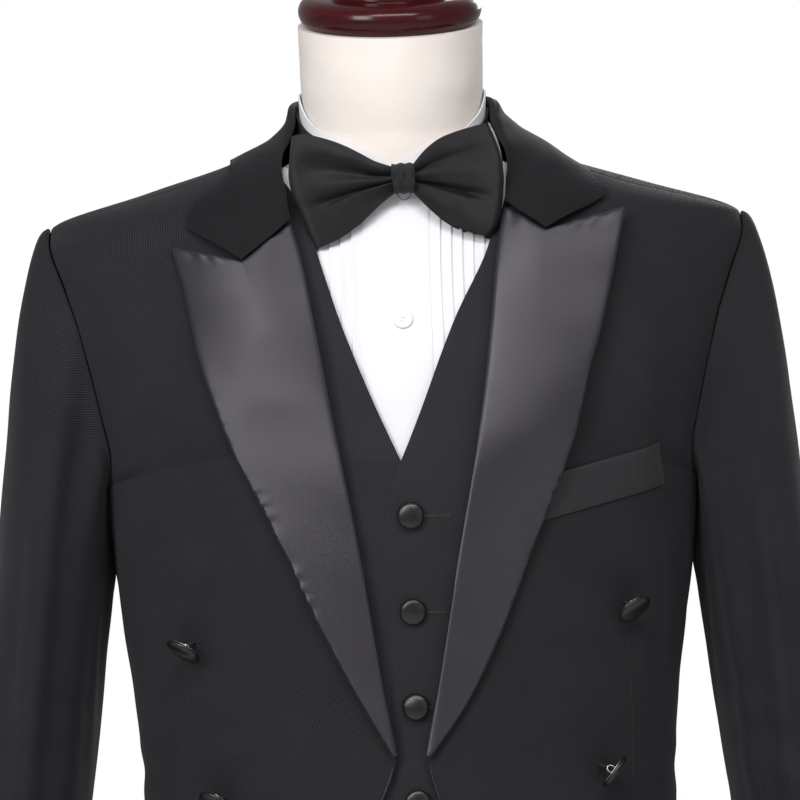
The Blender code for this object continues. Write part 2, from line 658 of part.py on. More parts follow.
def coat_sleeve(side, sign):
    """A sleeve from the armhole to an open cuff, its cap curving out over the shoulder."""
    angles = np.concatenate([FRONT_ARMHOLE_ANGLES[::-1], SIDE_ARMHOLE_ANGLES[1:], BACK_ARMHOLE_ANGLES[1:-1]])
    hole = armhole(angles)
    start = COAT.lifted(hole[:, 0], hole[:, 1], 0.0004 + COAT_WALL)
    sections = np.array(SLEEVE_SECTIONS)
    height, across, depth, half, deep = (sections[:, i] for i in range(5))
    axis_tilt = math.atan2(across[1] - across[0], height[0] - height[1])

    def ring(k):
        side_reach = half[k] * np.cos(angles)
        points = np.stack([across[k] + side_reach * math.cos(axis_tilt),
                           depth[k] - deep[k] * np.sin(angles),
                           height[k] + side_reach * math.sin(axis_tilt)], axis=-1)
        return points

    first = ring(0)
    outward = np.array([1.0, 0, 0])
    forward = np.array([0, -1.0, 0])
    down = np.array([math.sin(axis_tilt), 0, -math.cos(axis_tilt)])
    top_share = 0.5 + 0.5 * np.cos(angles)[:, None]
    leave = outward * (0.20 + 0.70 * top_share) + down * (1.30 - 0.80 * top_share)
    leave = leave + forward * np.sin(angles)[:, None] * 0.30
    leave = leave / np.linalg.norm(leave, axis=1, keepdims=True)
    span = np.linalg.norm(first - start, axis=1, keepdims=True)
    leave = leave * span * (0.75 - 0.42 * top_share)
    rings = []
    for t in (0.0, 0.06, 0.16, 0.34, 0.64):
        begin = (1 + 2 * t) * (1 - t) ** 2 * start + t * (1 - t) ** 2 * leave
        end = t * t * (3 - 2 * t) * first + t * t * (t - 1) * down * span
        rings.append(begin + end)
    rings += [ring(k) for k in range(len(sections))]
    outer = np.array(rings)
    normals = grid_normals(outer, wrap=True)
    middle = outer.mean(axis=1, keepdims=True)
    normals = normals * np.sign(np.sum(normals * (outer - middle), axis=-1, keepdims=True))
    normals[0] = COAT.normal(hole[:, 0], hole[:, 1])
    inner = outer - normals * COAT_WALL
    if sign < 0:
        outer, inner = mirror_points(outer), mirror_points(inner)
    wall(f"coat_sleeve_{side}", outer, inner, "wool", wrap=True)


def coat_lapel(side, sign):
    """The satin facing turned back from the fold, with its peak and a soft roll."""
    rows, columns = 14, 5
    left = divide(LAPEL_ROLL[side], rows, 1.0)
    right = divide(LAPEL_EDGE[side], rows, 1.0)
    gorge_top, peak, notch = left[-1], right[-1], np.array(NOTCH[side])
    top = join(divide([gorge_top, notch], 2, 1.0), divide([notch, peak], columns - 2, 1.0))
    bottom = divide([left[0], right[0]], columns, 1.0)
    top[:-1, 1] -= 0.0008
    left[-1] = top[0]
    grid = fill_patch(bottom, top, left, right)
    turn = COAT.turn_at(grid[..., 0], grid[..., 1])
    share = np.linspace(0, 1, columns + 1)[None, :]
    rise = np.linspace(0, 1, rows + 1)[:, None]
    lift = 0.0005 + 0.0022 * share ** 0.5 + 0.0035 * np.sin(np.pi * share) * ease(0.05, 0.6, rise)
    if sign < 0:
        turn = math.pi - turn
    placed = np.stack([turn, grid[..., 1]], axis=-1)
    body_wall(f"coat_lapel_{side}", COAT, placed, lift, SATIN_WALL, "satin")


COLLAR_WALL = 0.0013


def moved_towards(start, target, distance):
    """Each point of one curve on the coat moved this far towards the same point of another."""
    way = target - start
    long = np.linalg.norm(way * np.array([0.08, 1.0]), axis=1, keepdims=True)
    return start + way * np.minimum(distance / np.maximum(long, 1e-9), 0.45)


def collar_half(side):
    """Mid lines of half the collar on the coat's surface: rows from the neck seam up the stand, over the
    fold and down the leaf, columns from the centre back to the gorge. Returns (turn, height) and lifts."""
    fold = np.array([(math.radians(turn), z) for turn, z in COLLAR_FOLD[side]])
    seam = neck_seam(side) + np.array([0.0, 0.0011])
    notch, tip = (COAT.curve([row])[0] for row in (NOTCH[side], COLLAR_TIP[side]))
    gorge = fold[-1]
    edge = [(math.radians(turn), z) for turn, z in COLLAR_EDGE[side]]
    rest = divide([edge[-1], tuple(tip)], len(fold) - len(edge))
    edge = np.concatenate([edge, rest[1:]])
    steps = 6
    knee = 3
    end = join(divide([gorge, notch], knee), divide([notch, tip], steps - knee)) + np.array([0.0, 0.0006])
    start = divide([fold[0], edge[0]], steps)
    leaf = fill_patch(start, end, fold, edge, 2.5).transpose(1, 0, 2)
    columns = np.arange(len(fold))
    front = ease(6, len(fold) - 1, columns)
    share = np.linspace(0, 1, steps + 1)[:, None]
    leaf_lift = 0.0022 + 0.0012 * front + (0.0006 + 0.0022 * front) * np.sin(math.pi * share)
    leaf_lift = leaf_lift - 0.0006 * share
    beside = np.exp(-((columns - 6.5) / 2.6) ** 2)
    leaf_lift = leaf_lift + COLLAR_PUFF[side] * beside * np.sin(math.pi * share ** 0.8)
    under = -0.5 * COAT_WALL
    rows = [seam, 0.5 * (seam + fold), moved_towards(fold, seam, 0.0022)]
    rows += [fold, moved_towards(fold, leaf[1], 0.0022)]
    lifts = [np.full(len(fold), under), np.full(len(fold), under), np.full(len(fold), under)]
    lifts += [np.full(len(fold), 0.5 * (under + leaf_lift[0].mean())), leaf_lift[0]]
    for k in range(1, steps + 1):
        rows.append(leaf[k])
        lifts.append(leaf_lift[k])
    return np.array(rows), np.array(lifts)


def coat_collar():
    halves = []
    for side, sign in SIDES:
        grid, lifts = collar_half(side)
        if sign < 0:
            grid = mirror_turns(grid)
        halves.append(COAT.lifted(grid[..., 0], grid[..., 1], lifts))
    left, right = halves
    points = np.concatenate([right[:, :0:-1], 0.5 * (left[:, :1] + right[:, :1]), left[:, 1:]], axis=1)
    normals = grid_normals(points)
    half = 0.5 * COLLAR_WALL
    wall("coat_collar", points + normals * half, points - normals * half, "wool")


def breast_pocket():
    corners = np.array(WELT_CORNERS)
    bottom = divide([corners[0], corners[1]], 4, 1.0)
    top = divide([corners[3], corners[2]], 4, 1.0)
    left = divide([corners[0], corners[3]], 1, 1.0)
    right = divide([corners[1], corners[2]], 1, 1.0)
    grid = fill_patch(bottom, top, left, right)
    turn = COAT.turn_at(grid[..., 0], grid[..., 1])
    placed = np.stack([turn, grid[..., 1]], axis=-1)
    body_wall("coat_breast_welt", COAT, placed, 0.0009, 0.0011, "satin")


def button_rings(radius, centre, axis, segments):
    """The disc of a cloth-covered button, from the plate at its back to the rim and up the dome."""
    profile = [(radius * 0.80, -0.0012), (radius, 0.0000), (radius * 0.97, 0.0014), (radius * 0.60, 0.0030)]
    return [ring_round(centre + axis * height, axis, reach, segments) for reach, height in profile]


def coat_buttons():
    """Covered buttons on long shanks, which tip over and hang as the thread lets them."""
    counts = {"left": 0, "right": 0}
    segments = 11
    for side, across, height, tilt, way in COAT_BUTTONS:
        counts[side] += 1
        sign = dict(SIDES)[side]
        angle, way = math.radians(tilt), math.radians(way)
        hang = np.array([math.sin(way), 0, -math.cos(way)])
        slack = COAT_SHANK * math.sin(angle)
        foot_across, foot_height = sign * across - hang[0] * slack, height - hang[2] * slack
        seat, out = seat_on(f"coat_front_{side}", foot_across, foot_height)
        hang = hang - out * np.dot(hang, out)
        hang /= np.linalg.norm(hang)
        axis = out * math.cos(angle) + hang * math.sin(angle)
        rise = COAT_BUTTON_RADIUS * math.sin(angle) + 0.0018 * math.cos(angle) + 0.0006
        root = seat + out * max(rise - COAT_SHANK * math.cos(angle), 0.0012)
        centre = root + axis * COAT_SHANK
        foot = seat + out * 0.0003
        rings = [ring_round(foot, out, 0.0016, segments),
                 ring_round(0.5 * (foot + root), out, 0.0009, segments),
                 ring_round(root, out + axis, 0.0012, segments),
                 ring_round(root + axis * (COAT_SHANK - 0.0016), axis, 0.0018, segments)]
        rings += button_rings(COAT_BUTTON_RADIUS, centre, axis, segments)
        stack_rings(f"coat_button_{side}_{counts[side]}", rings, foot, centre + axis * 0.0036, "satin")


# Waistcoat

VEST_UNDER_ARM = ((0, VEST_SIDE_HEM), (0, 1.15), (0, 1.262))
VEST_FRONT_ARM = ((-12, 1.292), (-22, 1.345), (-24, 1.400), (-16, 1.440), (0, 1.4625))
VEST_BACK_ARM = ((12, 1.292), (24, 1.350), (26, 1.400), (17, 1.440), (0, 1.4625))
VEST_NECK_HEIGHT = 1.4885
VEST_SIDE_STEPS = 5
VEST_ARM_STEPS = 10
VEST_FRONT_STEPS = 7


def vest_lift(heights):
    """The waistcoat stands off further down, where it covers the trousers' waist."""
    return VEST_LIFT + (VEST_WAIST_LIFT - VEST_LIFT) * ease(1.22, 1.12, heights)


def vest_front(side, sign):
    """One front, from the shoulder down to its point. The left one closes over the right by the buttons."""
    rows = VEST_SIDE_STEPS + VEST_ARM_STEPS
    side_part = divide([(math.radians(t), z) for t, z in VEST_UNDER_ARM], VEST_SIDE_STEPS)
    arm_points = [tuple(side_part[-1])] + [(math.radians(t), z) for t, z in VEST_FRONT_ARM]
    arm = divide(arm_points, VEST_ARM_STEPS, crowd=1.5)
    right = shifted(join(side_part, arm), -HALF_SEAM_TURN)
    # Both fronts meet on one line, beside the middle on the wearer's right
    meet = -VEST_OVERLAP if sign > 0 else VEST_OVERLAP + SEAM_GAP
    table = [(meet + 0.012, VEST_POINT), (meet, VEST_POINT + 0.022), (meet, 1.12), (meet, 1.22)]
    point_of_v = (meet + sign * 0.0096, VEST_V[side][0][1])
    lower = divide(FORM.curve(table + [(meet, 1.2850), point_of_v]), VEST_FRONT_STEPS)
    upper = divide(FORM.curve([point_of_v] + list(VEST_V[side][1:])), rows - VEST_FRONT_STEPS, crowd=1.4)
    left = join(lower, upper)
    left[-1] = (-HALF_SEAM_TURN, VEST_NECK_HEIGHT)
    columns = 8
    corner = tuple(FORM.curve([VEST_HEM_CORNER])[0])
    hem_turn, hem_height = VEST_HEM_SIDE
    bottom = divide([tuple(left[0]), corner, (math.radians(hem_turn), hem_height), tuple(right[0])], columns)
    top = divide([tuple(left[-1]), tuple(right[-1])], columns)
    grid = fill_patch(bottom, top, left, right)
    if sign < 0:
        grid = mirror_turns(grid)
    body_wall(f"vest_front_{side}", FORM, grid, vest_lift(grid[..., 1]), VEST_WALL, "wool")


def vest_back():
    steps_shoulder, steps_neck = 3, 6
    side_part = divide([(math.radians(t), z) for t, z in VEST_UNDER_ARM], 4)
    arm_points = [tuple(side_part[-1])] + [(math.radians(t), z) for t, z in VEST_BACK_ARM]
    left = shifted(join(side_part, divide(arm_points, 8, crowd=1.6)), HALF_SEAM_TURN)
    right = mirror_turns(left)
    neck_side = (HALF_SEAM_TURN, VEST_NECK_HEIGHT)
    shoulder = divide([tuple(left[-1]), neck_side], steps_shoulder)
    neck = divide([neck_side, (math.radians(50), 1.489), (math.radians(90), 1.488),
                   (math.radians(130), 1.489), (math.pi - HALF_SEAM_TURN, VEST_NECK_HEIGHT)], steps_neck)
    top = join(shoulder, neck, mirror_turns(shoulder)[::-1])
    columns = len(top) - 1
    bottom = divide([tuple(left[0]), tuple(right[0])], columns)
    grid = fill_patch(bottom, top, left, right, 3.0)
    # It stands off a little more across the shoulder blades
    lift = vest_lift(grid[..., 1]) + 0.0018 * ease(1.13, 1.20, grid[..., 1])
    body_wall("vest_back", FORM, grid, lift, VEST_WALL, "wool")


def vest_buttons():
    segments = 12
    for k, height in enumerate(VEST_BUTTON_HEIGHTS):
        seat, out = seat_on("vest_front_left", VEST_BUTTON_ACROSS, height)
        foot = seat + out * 0.0004
        centre = foot + out * 0.0016
        rings = [ring_round(foot, out, 0.0022, segments)]
        rings += button_rings(VEST_BUTTON_RADIUS, centre, out, segments)
        stack_rings(f"vest_button_{k + 1}", rings, foot, centre + out * 0.0036, "satin")


# Shirt and bow tie

def shirt_front():
    """The bib: a plain placket between rows of narrow vertical tucks that face outward."""
    edges, rises = [], []
    half_places = [(0.0, 0.0004), (PLACKET_HALF - 0.0004, 0.0004), (PLACKET_HALF, 0.0)]
    for k in range(TUCK_COUNT):
        start = PLACKET_HALF + TUCK_WIDTH * k
        half_places += [(start + TUCK_WIDTH - 0.0006, TUCK_RISE), (start + TUCK_WIDTH, 0.0)]
    half_places.append((half_places[-1][0] + 0.008, 0.0))
    for across, rise in [(-x, r) for x, r in half_places[:0:-1]] + half_places:
        edges.append(across)
        rises.append(rise)
    edges, rises = np.array(edges), np.array(rises)
    # Its top follows the base of the neck and then the shoulders
    top_curve = smooth_curve((0.0, 0.030, 0.048, 0.060, 0.085), (1.4600, 1.4680, 1.4750, 1.4700, 1.4450))
    tops = top_curve(abs(edges))
    rows = np.array(BIB_ROWS)[:, None]
    heights = BIB_BOTTOM + rows * (tops[None] - BIB_BOTTOM)
    turns = FORM.turn_at(np.broadcast_to(edges, heights.shape), heights)
    inner = FORM.lifted(turns, heights, np.full(heights.shape, SHIRT_LIFT))
    outer = FORM.lifted(turns, heights, SHIRT_LIFT + SHIRT_WALL + np.broadcast_to(rises, heights.shape))
    wall("shirt_front", outer, inner, "shirt_cotton")


SHIRT_COLLAR_LIFT = 0.0008
SHIRT_COLLAR_WALL = 0.0010
BAND_GAP = 0.0009
BAND_WALL = 0.0010
# The shirt collar's top before the neck's tilt: turn in degrees, height
SHIRT_COLLAR_TOP = ((-90, 1.4900), (-80, 1.4970), (-67, 1.5055), (-48, 1.5125), (-25, 1.5240), (0, 1.5365),
                    (45, 1.5375), (90, 1.5375))
SHIRT_COLLAR_FOOT = ((-90, 1.4750), (-60, 1.4800), (-30, 1.4930), (0, 1.5030), (45, 1.5060), (90, 1.5070))


def round_neck(table, turn):
    """A height from a table for the left half, at any turn, the same on both sides."""
    degrees = np.degrees(np.arcsin(np.clip(np.sin(turn), -1, 1)))
    return smooth_curve(*zip(*table))(degrees)


def neck_turns(first):
    """Turns round the neck from the throat, first degrees, to the same place on the other side."""
    between = np.arange(-75, 256, 15)
    return np.radians(np.concatenate([[first], between, [180 - first]]))


def shirt_collar():
    """The standing band, open at the throat."""
    turn = neck_turns(-86)
    low, high = round_neck(SHIRT_COLLAR_FOOT, turn), round_neck(SHIRT_COLLAR_TOP, turn)
    rows = np.linspace(0, 1, 4)[:, None]
    heights = low + rows * (high - low)
    turns = np.broadcast_to(turn, heights.shape)
    lift = np.full(heights.shape, SHIRT_COLLAR_LIFT)
    inner = FORM.lifted(turns, heights, lift)
    outer = FORM.lifted(turns, heights, lift + SHIRT_COLLAR_WALL)
    wall("shirt_collar", outer, inner, "shirt_cotton")


def bow_band():
    """The tie's strap round the collar, from one side of the knot to the other."""
    turn = neck_turns(-82)
    low, high = round_neck(SHIRT_COLLAR_FOOT, turn), round_neck(SHIRT_COLLAR_TOP, turn)
    middle = 0.5 * (low + high)
    heights = middle + np.array([-0.0070, 0.0, 0.0070])[:, None]
    turns = np.broadcast_to(turn, heights.shape)
    lift = np.full(heights.shape, SHIRT_COLLAR_LIFT + SHIRT_COLLAR_WALL + BAND_GAP)
    inner = FORM.lifted(turns, heights, lift)
    outer = FORM.lifted(turns, heights, lift + BAND_WALL)
    wall("bow_band", outer, inner, "satin")


def bow_frame(points):
    """Bow coordinates, across, out to the front and up, placed on the collar with the bow's small tilt."""
    angle = math.radians(BOW_TILT)
    across, out, up = points[..., 0], points[..., 1], points[..., 2]
    x = BOW_CENTRE[0] + across * math.cos(angle) - up * math.sin(angle)
    z = BOW_CENTRE[2] + across * math.sin(angle) + up * math.cos(angle)
    y = BOW_CENTRE[1] - out - 0.3 * across ** 2
    return np.stack([x, y, z], axis=-1)


def bow_wing(side, sign):
    """One wing: a strip of satin that runs out from the knot, turns over and comes back gathered."""
    columns, rows = 13, 8
    trip = np.linspace(0, 1, columns)
    places = []
    for t in trip:
        front = t < 0.5
        share = t / 0.5 if front else (1 - t) / 0.5
        share = math.sin(share * math.pi / 2) if share < 1 else 1.0
        across = 0.0075 + (BOW_REACH[side] - 0.0075) * share
        loop = 0.0016 + BOW_LOOP_DEPTH * 0.5 * math.sin(math.pi * share * 0.62)
        spread = math.cos(math.pi * t) * loop
        places.append((share, across, spread, front))
    up_shares = np.linspace(-1, 1, rows)
    grid = np.zeros((rows, columns, 3))
    for c, (share, across, spread, front) in enumerate(places):
        half = BOW_WAIST_HALF + (BOW_END_HALF - BOW_WAIST_HALF) * share ** 1.15
        for r, v in enumerate(up_shares):
            gather = (1 - ease(0.1, 0.95, share)) * 0.0014 * math.cos(2.5 * math.pi * v)
            bow_out = 0.0022 * share * (1 - v * v)
            out = spread + (gather + bow_out if front else -0.3 * bow_out)
            slant = 0.0080 * share ** 2 * abs(v) ** 2.5
            grid[r, c] = (sign * (across - slant), out, v * half)
    normals = grid_normals(grid)
    outer = bow_frame(grid + normals * 0.0005)
    inner = bow_frame(grid - normals * 0.0005)
    wall(f"bow_wing_{side}", outer, inner, "satin")


def bow_knot():
    """The band of satin wound round the middle of the bow."""
    half_width, half_depth, half_height = KNOT_HALVES
    count = 12
    angles = 2 * math.pi * np.arange(count) / count
    rows = np.linspace(-1, 1, 4)
    outer = np.zeros((len(rows), count, 3))
    for r, v in enumerate(rows):
        swell = 1 + 0.06 * (1 - v * v)
        outer[r, :, 0] = v * half_width
        outer[r, :, 1] = KNOT_FORWARD + half_depth * np.cos(angles) * swell
        outer[r, :, 2] = half_height * np.sin(angles) * swell
    inner = outer.copy()
    inner[..., 1] = KNOT_FORWARD + (outer[..., 1] - KNOT_FORWARD) * 0.76
    inner[..., 2] = outer[..., 2] * 0.87
    wall("bow_knot", bow_frame(outer), bow_frame(inner), "satin", wrap=True)


def shirt_button():
    turn = float(FORM.turn_at(0.003, SHIRT_BUTTON_HEIGHT))
    seat = FORM.lifted(turn, SHIRT_BUTTON_HEIGHT, SHIRT_LIFT + SHIRT_WALL + 0.0004 + 0.0003)
    profile = [(0, 0), (SHIRT_BUTTON_RADIUS * 0.7, 0), (SHIRT_BUTTON_RADIUS, 0.0007),
               (SHIRT_BUTTON_RADIUS * 0.96, 0.0016), (SHIRT_BUTTON_RADIUS * 0.72, 0.0013), (0, 0.0011)]
    lathe("shirt_button", profile, "pearl_button", seat, FORM.normal(turn, SHIRT_BUTTON_HEIGHT), 14)


# Trousers

def crotch_seam(steps):
    """(depth, height) along the middle seam, from the waist in front, under, and up to the waist behind."""
    front = -float(TROUSERS.front(TROUSER_TOP))
    back = float(TROUSERS.back(TROUSER_TOP))
    return divide([(front, TROUSER_TOP), *CROTCH_SEAM, (back, TROUSER_TOP)], steps, 1.0)


def trouser_leg(side, sign):
    """Half of the trousers: a leg, open at the hem, whose top edge is the waist and the middle seam."""
    outer_steps, seam_steps = 12, 8
    columns = outer_steps + seam_steps
    upper_rows = 6
    seam = crotch_seam(seam_steps)
    waist_turns = np.radians(np.linspace(90, -90, outer_steps + 1))
    starts, angles = [], []
    for k in range(outer_steps + 1):
        starts.append(TROUSERS.point(waist_turns[k], TROUSER_TOP))
        angles.append(math.radians(-132 + 264 * k / outer_steps))
    for k in range(1, seam_steps):
        depth, height = seam[k]
        starts.append(np.array([0.0, depth, height]))
        angles.append(math.radians(132 + 96 * k / seam_steps))
    starts, angles = np.array(starts), np.array(angles)
    gap = 0.5 * SEAM_GAP + TROUSER_WALL * 0.5
    starts[:, 0] = np.maximum(starts[:, 0], gap)
    sections = np.array(LEG_SECTIONS)

    def ring(row):
        height, across, depth, half, deep = row
        return np.stack([across + half * np.cos(angles), depth - deep * np.sin(angles),
                         np.full(columns, height)], axis=-1)

    first = ring(sections[0])
    rings = []
    for j in range(upper_rows):
        t = j / upper_rows
        points = starts + (first - starts) * np.array([1.0, 1.0, 0.0]) * (t ** 1.5)
        points[:, 2] = starts[:, 2] + (first[:, 2] - starts[:, 2]) * t
        turn = np.arctan2(points[:, 1], points[:, 0])
        on_body = TROUSERS.point(turn, points[:, 2])
        snap = ease(0.765, 0.850, points[:, 2]) * (starts[:, 2] > 0.88)
        points[:, :2] += (on_body[:, :2] - points[:, :2]) * snap[:, None]
        points[:, 0] = np.maximum(points[:, 0], gap)
        rings.append(points)
    rings += [ring(row) for row in sections]
    outer = np.array(rings)
    normals = grid_normals(outer, wrap=True)
    middle = outer[-1].mean(axis=0)
    normals = normals * np.sign(np.sum(normals[-1] * (outer[-1] - middle)))
    inner = outer - normals * TROUSER_WALL
    inner[..., 0] = np.maximum(inner[..., 0], gap * 0.35)
    if sign < 0:
        outer, inner = mirror_points(outer), mirror_points(inner)
    wall(f"trouser_leg_{side}", outer, inner, "wool", wrap=True)


# Dress form and stand

def form_body():
    """The form's torso and neck, closed below by a flat board and above by the neck's slanted top."""
    heights = [FORM_BOTTOM, 0.98, 1.05, 1.12, 1.19, 1.25, 1.30, 1.34, 1.38, 1.41, 1.43, 1.4425,
               1.456, 1.470, 1.477, 1.484, 1.490, 1.497, 1.503, 1.509, 1.515, 1.530, 1.545, FORM_TOP]
    count = 24
    turns = np.radians(np.arange(count) * 360 / count)
    rings = np.array([FORM.point(turns, z) for z in heights])
    points = list(rings.reshape(-1, 3))
    faces = []
    for r in range(len(heights) - 1):
        for c in range(count):
            d = (c + 1) % count
            low, high = r * count, (r + 1) * count
            faces.append((low + c, low + d, high + d, high + c))
    faces.append(tuple(reversed(range(count))))
    top = (len(heights) - 1) * count
    faces.append(tuple(range(top, top + count)))
    add_object("form_body", points, faces, "form_linen")


def form_cap():
    """The turned wooden cap on the neck: a round-edged disc, a smaller tier and a knob."""
    lathe("form_cap", CAP_PROFILE, "wood", (0, 0, FORM_TOP), (0, -NECK_TILT, 1.0), 20)


def stand():
    foot = BASE_HEIGHT
    lathe("stand_base", [(0, 0), (BASE_RADIUS, 0), (BASE_RADIUS, foot - 0.0015), (BASE_RADIUS - 0.002, foot),
                         (0, foot)], "steel", (0, 0, 0), (0, 0, 1), 32)
    length = FORM_BOTTOM - foot - 0.0006
    profile = [(0, 0), (0.030, 0), (0.030, 0.004), (POLE_RADIUS, 0.009), (POLE_RADIUS, length - 0.006),
               (FLANGE_RADIUS, length - 0.005), (FLANGE_RADIUS, length), (0, length)]
    lathe("stand_pole", profile, "steel", (POLE_ACROSS, 0, foot + 0.0003), (0, 0, 1), 16)


def clear_scene():
    for old in list(bpy.data.objects):
        bpy.data.objects.remove(old)


def main():
    clear_scene()
    form_body()
    form_cap()
    stand()
    shirt_front()
    shirt_collar()
    shirt_button()
    bow_band()
    bow_knot()
    vest_back()
    coat_collar()
    breast_pocket()
    for side, sign in SIDES:
        trouser_leg(side, sign)
        vest_front(side, sign)
        bow_wing(side, sign)
        coat_front(side, sign)
        coat_side(side, sign)
        coat_back(side, sign)
        coat_skirt(side, sign)
        coat_sleeve(side, sign)
        coat_lapel(side, sign)
    vest_buttons()
    coat_buttons()


main()
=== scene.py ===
"""The looks of a tailcoat suit on its dress form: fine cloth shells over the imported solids, with their
creases, seams, weave and sheen, and the studio that shows them.

Metres, +Z up, the front of the suit faces -Y, the wearer's left is +X.
"""

import math

import bpy
import numpy as np
from mathutils import Matrix, Vector


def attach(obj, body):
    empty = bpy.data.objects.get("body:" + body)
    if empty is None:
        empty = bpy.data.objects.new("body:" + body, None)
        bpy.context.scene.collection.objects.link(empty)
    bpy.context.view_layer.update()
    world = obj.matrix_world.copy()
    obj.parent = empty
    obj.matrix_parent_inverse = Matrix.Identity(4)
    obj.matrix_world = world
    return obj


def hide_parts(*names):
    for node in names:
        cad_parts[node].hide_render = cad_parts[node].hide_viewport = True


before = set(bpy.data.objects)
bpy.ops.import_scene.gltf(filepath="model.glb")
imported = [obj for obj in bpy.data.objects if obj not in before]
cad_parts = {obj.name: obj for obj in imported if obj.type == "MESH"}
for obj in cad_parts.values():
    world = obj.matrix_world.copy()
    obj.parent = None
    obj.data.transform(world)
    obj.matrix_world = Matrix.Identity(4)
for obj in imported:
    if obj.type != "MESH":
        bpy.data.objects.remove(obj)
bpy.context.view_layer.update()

# Cloth thicknesses and the gaps between layers
COAT_WALL = 0.0016
VEST_WALL = 0.0016
SHIRT_WALL = 0.0011
TROUSER_WALL = 0.0015
SATIN_WALL = 0.0014
SEAM_GAP = 0.00002
SHIRT_LIFT = 0.0012
VEST_LIFT = 0.0054
VEST_WAIST_LIFT = 0.0070

TAIL_HEM = 0.50
WAIST_SEAM = 1.065
COAT_FRONT_HEM = 1.043
SHOULDER_END = 1.4566
FORM_BOTTOM = 0.905
FORM_TOP = 1.580
NECK_FOOT = 1.43
TROUSER_TOP = 1.105
CROTCH = 0.815
# The neck's sections tip forward, not at all below the first height and by the whole slope above the second
NECK_TILT = 0.25
NECK_LEAN = (1.49, 1.56)

# Sections of the dress form: height, half width, front depth, back depth, squareness
FORM_SECTIONS = (
    (0.905, 0.1640, 0.1060, 0.1240, 2.3),
    (0.960, 0.1640, 0.1110, 0.1220, 2.3),
    (1.020, 0.1550, 0.1090, 0.1080, 2.3),
    (1.065, 0.1500, 0.1070, 0.0985, 2.3),
    (1.100, 0.1485, 0.1050, 0.0950, 2.3),
    (1.165, 0.1520, 0.1070, 0.0990, 2.3),
    (1.210, 0.1570, 0.1110, 0.1050, 2.3),
    (1.250, 0.1620, 0.1150, 0.1100, 2.3),
    (1.300, 0.1680, 0.1180, 0.1140, 2.3),
    (1.340, 0.1740, 0.1130, 0.1150, 2.3),
    (1.380, 0.1800, 0.1030, 0.1110, 2.3),
    (1.410, 0.1840, 0.0915, 0.1030, 2.2),
    (1.430, 0.1820, 0.0830, 0.0950, 2.1),
    (1.4425, 0.1730, 0.0770, 0.0890, 2.0),
    (1.468, 0.1230, 0.0670, 0.0750, 2.0),
    (1.484, 0.0860, 0.0610, 0.0660, 2.0),
    (1.497, 0.0630, 0.0580, 0.0585, 2.0),
    (1.515, 0.0563, 0.0555, 0.0557, 2.0),
    (1.530, 0.0566, 0.0558, 0.0560, 2.0),
    (1.545, 0.0572, 0.0565, 0.0565, 2.0),
    (1.580, 0.0578, 0.0570, 0.0570, 2.0),
)

# Sections of the coat's outer face
COAT_SECTIONS = (
    (0.480, 0.1740, 0.1000, 0.1480, 2.2),
    (0.800, 0.1800, 0.1100, 0.1500, 2.2),
    (0.950, 0.1800, 0.1280, 0.1450, 2.2),
    (1.020, 0.1715, 0.1230, 0.1270, 2.3),
    (1.065, 0.1665, 0.1205, 0.1165, 2.3),
    (1.100, 0.1655, 0.1185, 0.1120, 2.3),
    (1.165, 0.1700, 0.1205, 0.1140, 2.3),
    (1.210, 0.1765, 0.1240, 0.1190, 2.3),
    (1.250, 0.1810, 0.1275, 0.1240, 2.3),
    (1.300, 0.1850, 0.1300, 0.1290, 2.3),
    (1.340, 0.1940, 0.1265, 0.1300, 2.3),
    (1.380, 0.2040, 0.1165, 0.1270, 2.3),
    (1.420, 0.2130, 0.1010, 0.1180, 2.2),
    (1.445, 0.2175, 0.0890, 0.1070, 2.2),
    (1.4566, 0.2150, 0.0840, 0.1000, 2.1),
    (1.4787, 0.1520, 0.0755, 0.0860, 2.0),
    (1.4934, 0.1050, 0.0700, 0.0760, 2.0),
    (1.507, 0.0745, 0.0655, 0.0690, 2.0),
    (1.520, 0.0635, 0.0625, 0.0640, 2.0),
    (1.534, 0.0615, 0.0610, 0.0630, 2.0),
    (1.560, 0.0612, 0.0605, 0.0628, 2.0),
)

# Sections of the trousers' outer face above the crotch
TROUSER_SECTIONS = (
    (0.740, 0.1700, 0.1000, 0.1150, 2.2),
    (0.840, 0.1730, 0.1080, 0.1260, 2.3),
    (0.905, 0.1735, 0.1145, 0.1355, 2.3),
    (0.960, 0.1690, 0.1150, 0.1270, 2.3),
    (1.020, 0.1586, 0.1126, 0.1120, 2.3),
    (1.065, 0.1530, 0.1100, 0.1018, 2.3),
    (1.110, 0.1515, 0.1080, 0.0980, 2.3),
)

# The fold of each lapel and its outer edge, from the bottom up: across, height
LAPEL_ROLL = {
    "left": ((0.0095, 1.1335), (0.0176, 1.1705), (0.0296, 1.2368), (0.0450, 1.3198), (0.0548, 1.3856),
             (0.0612, 1.4370), (0.0660, 1.4600)),
    "right": ((0.0067, 1.1339), (0.0141, 1.1743), (0.0233, 1.2364), (0.0399, 1.3334), (0.0514, 1.3998),
              (0.0575, 1.4325), (0.0630, 1.4529)),
}
LAPEL_EDGE = {
    "left": ((0.0124, 1.1325), (0.0342, 1.1628), (0.0513, 1.1960), (0.0725, 1.2471), (0.0964, 1.3125),
             (0.1095, 1.3565), (0.1186, 1.3833), (0.1313, 1.4322), (0.1379, 1.4554)),
    "right": ((0.0096, 1.1329), (0.0355, 1.1809), (0.0540, 1.2192), (0.0675, 1.2508), (0.0833, 1.2842),
              (0.1000, 1.3189), (0.1180, 1.3739), (0.1288, 1.4192), (0.1357, 1.4404)),
}
NOTCH = {"left": (0.0897, 1.4445), "right": (0.0920, 1.4295)}
COLLAR_TIP = {"left": (0.1274, 1.4641), "right": (0.1263, 1.4515)}

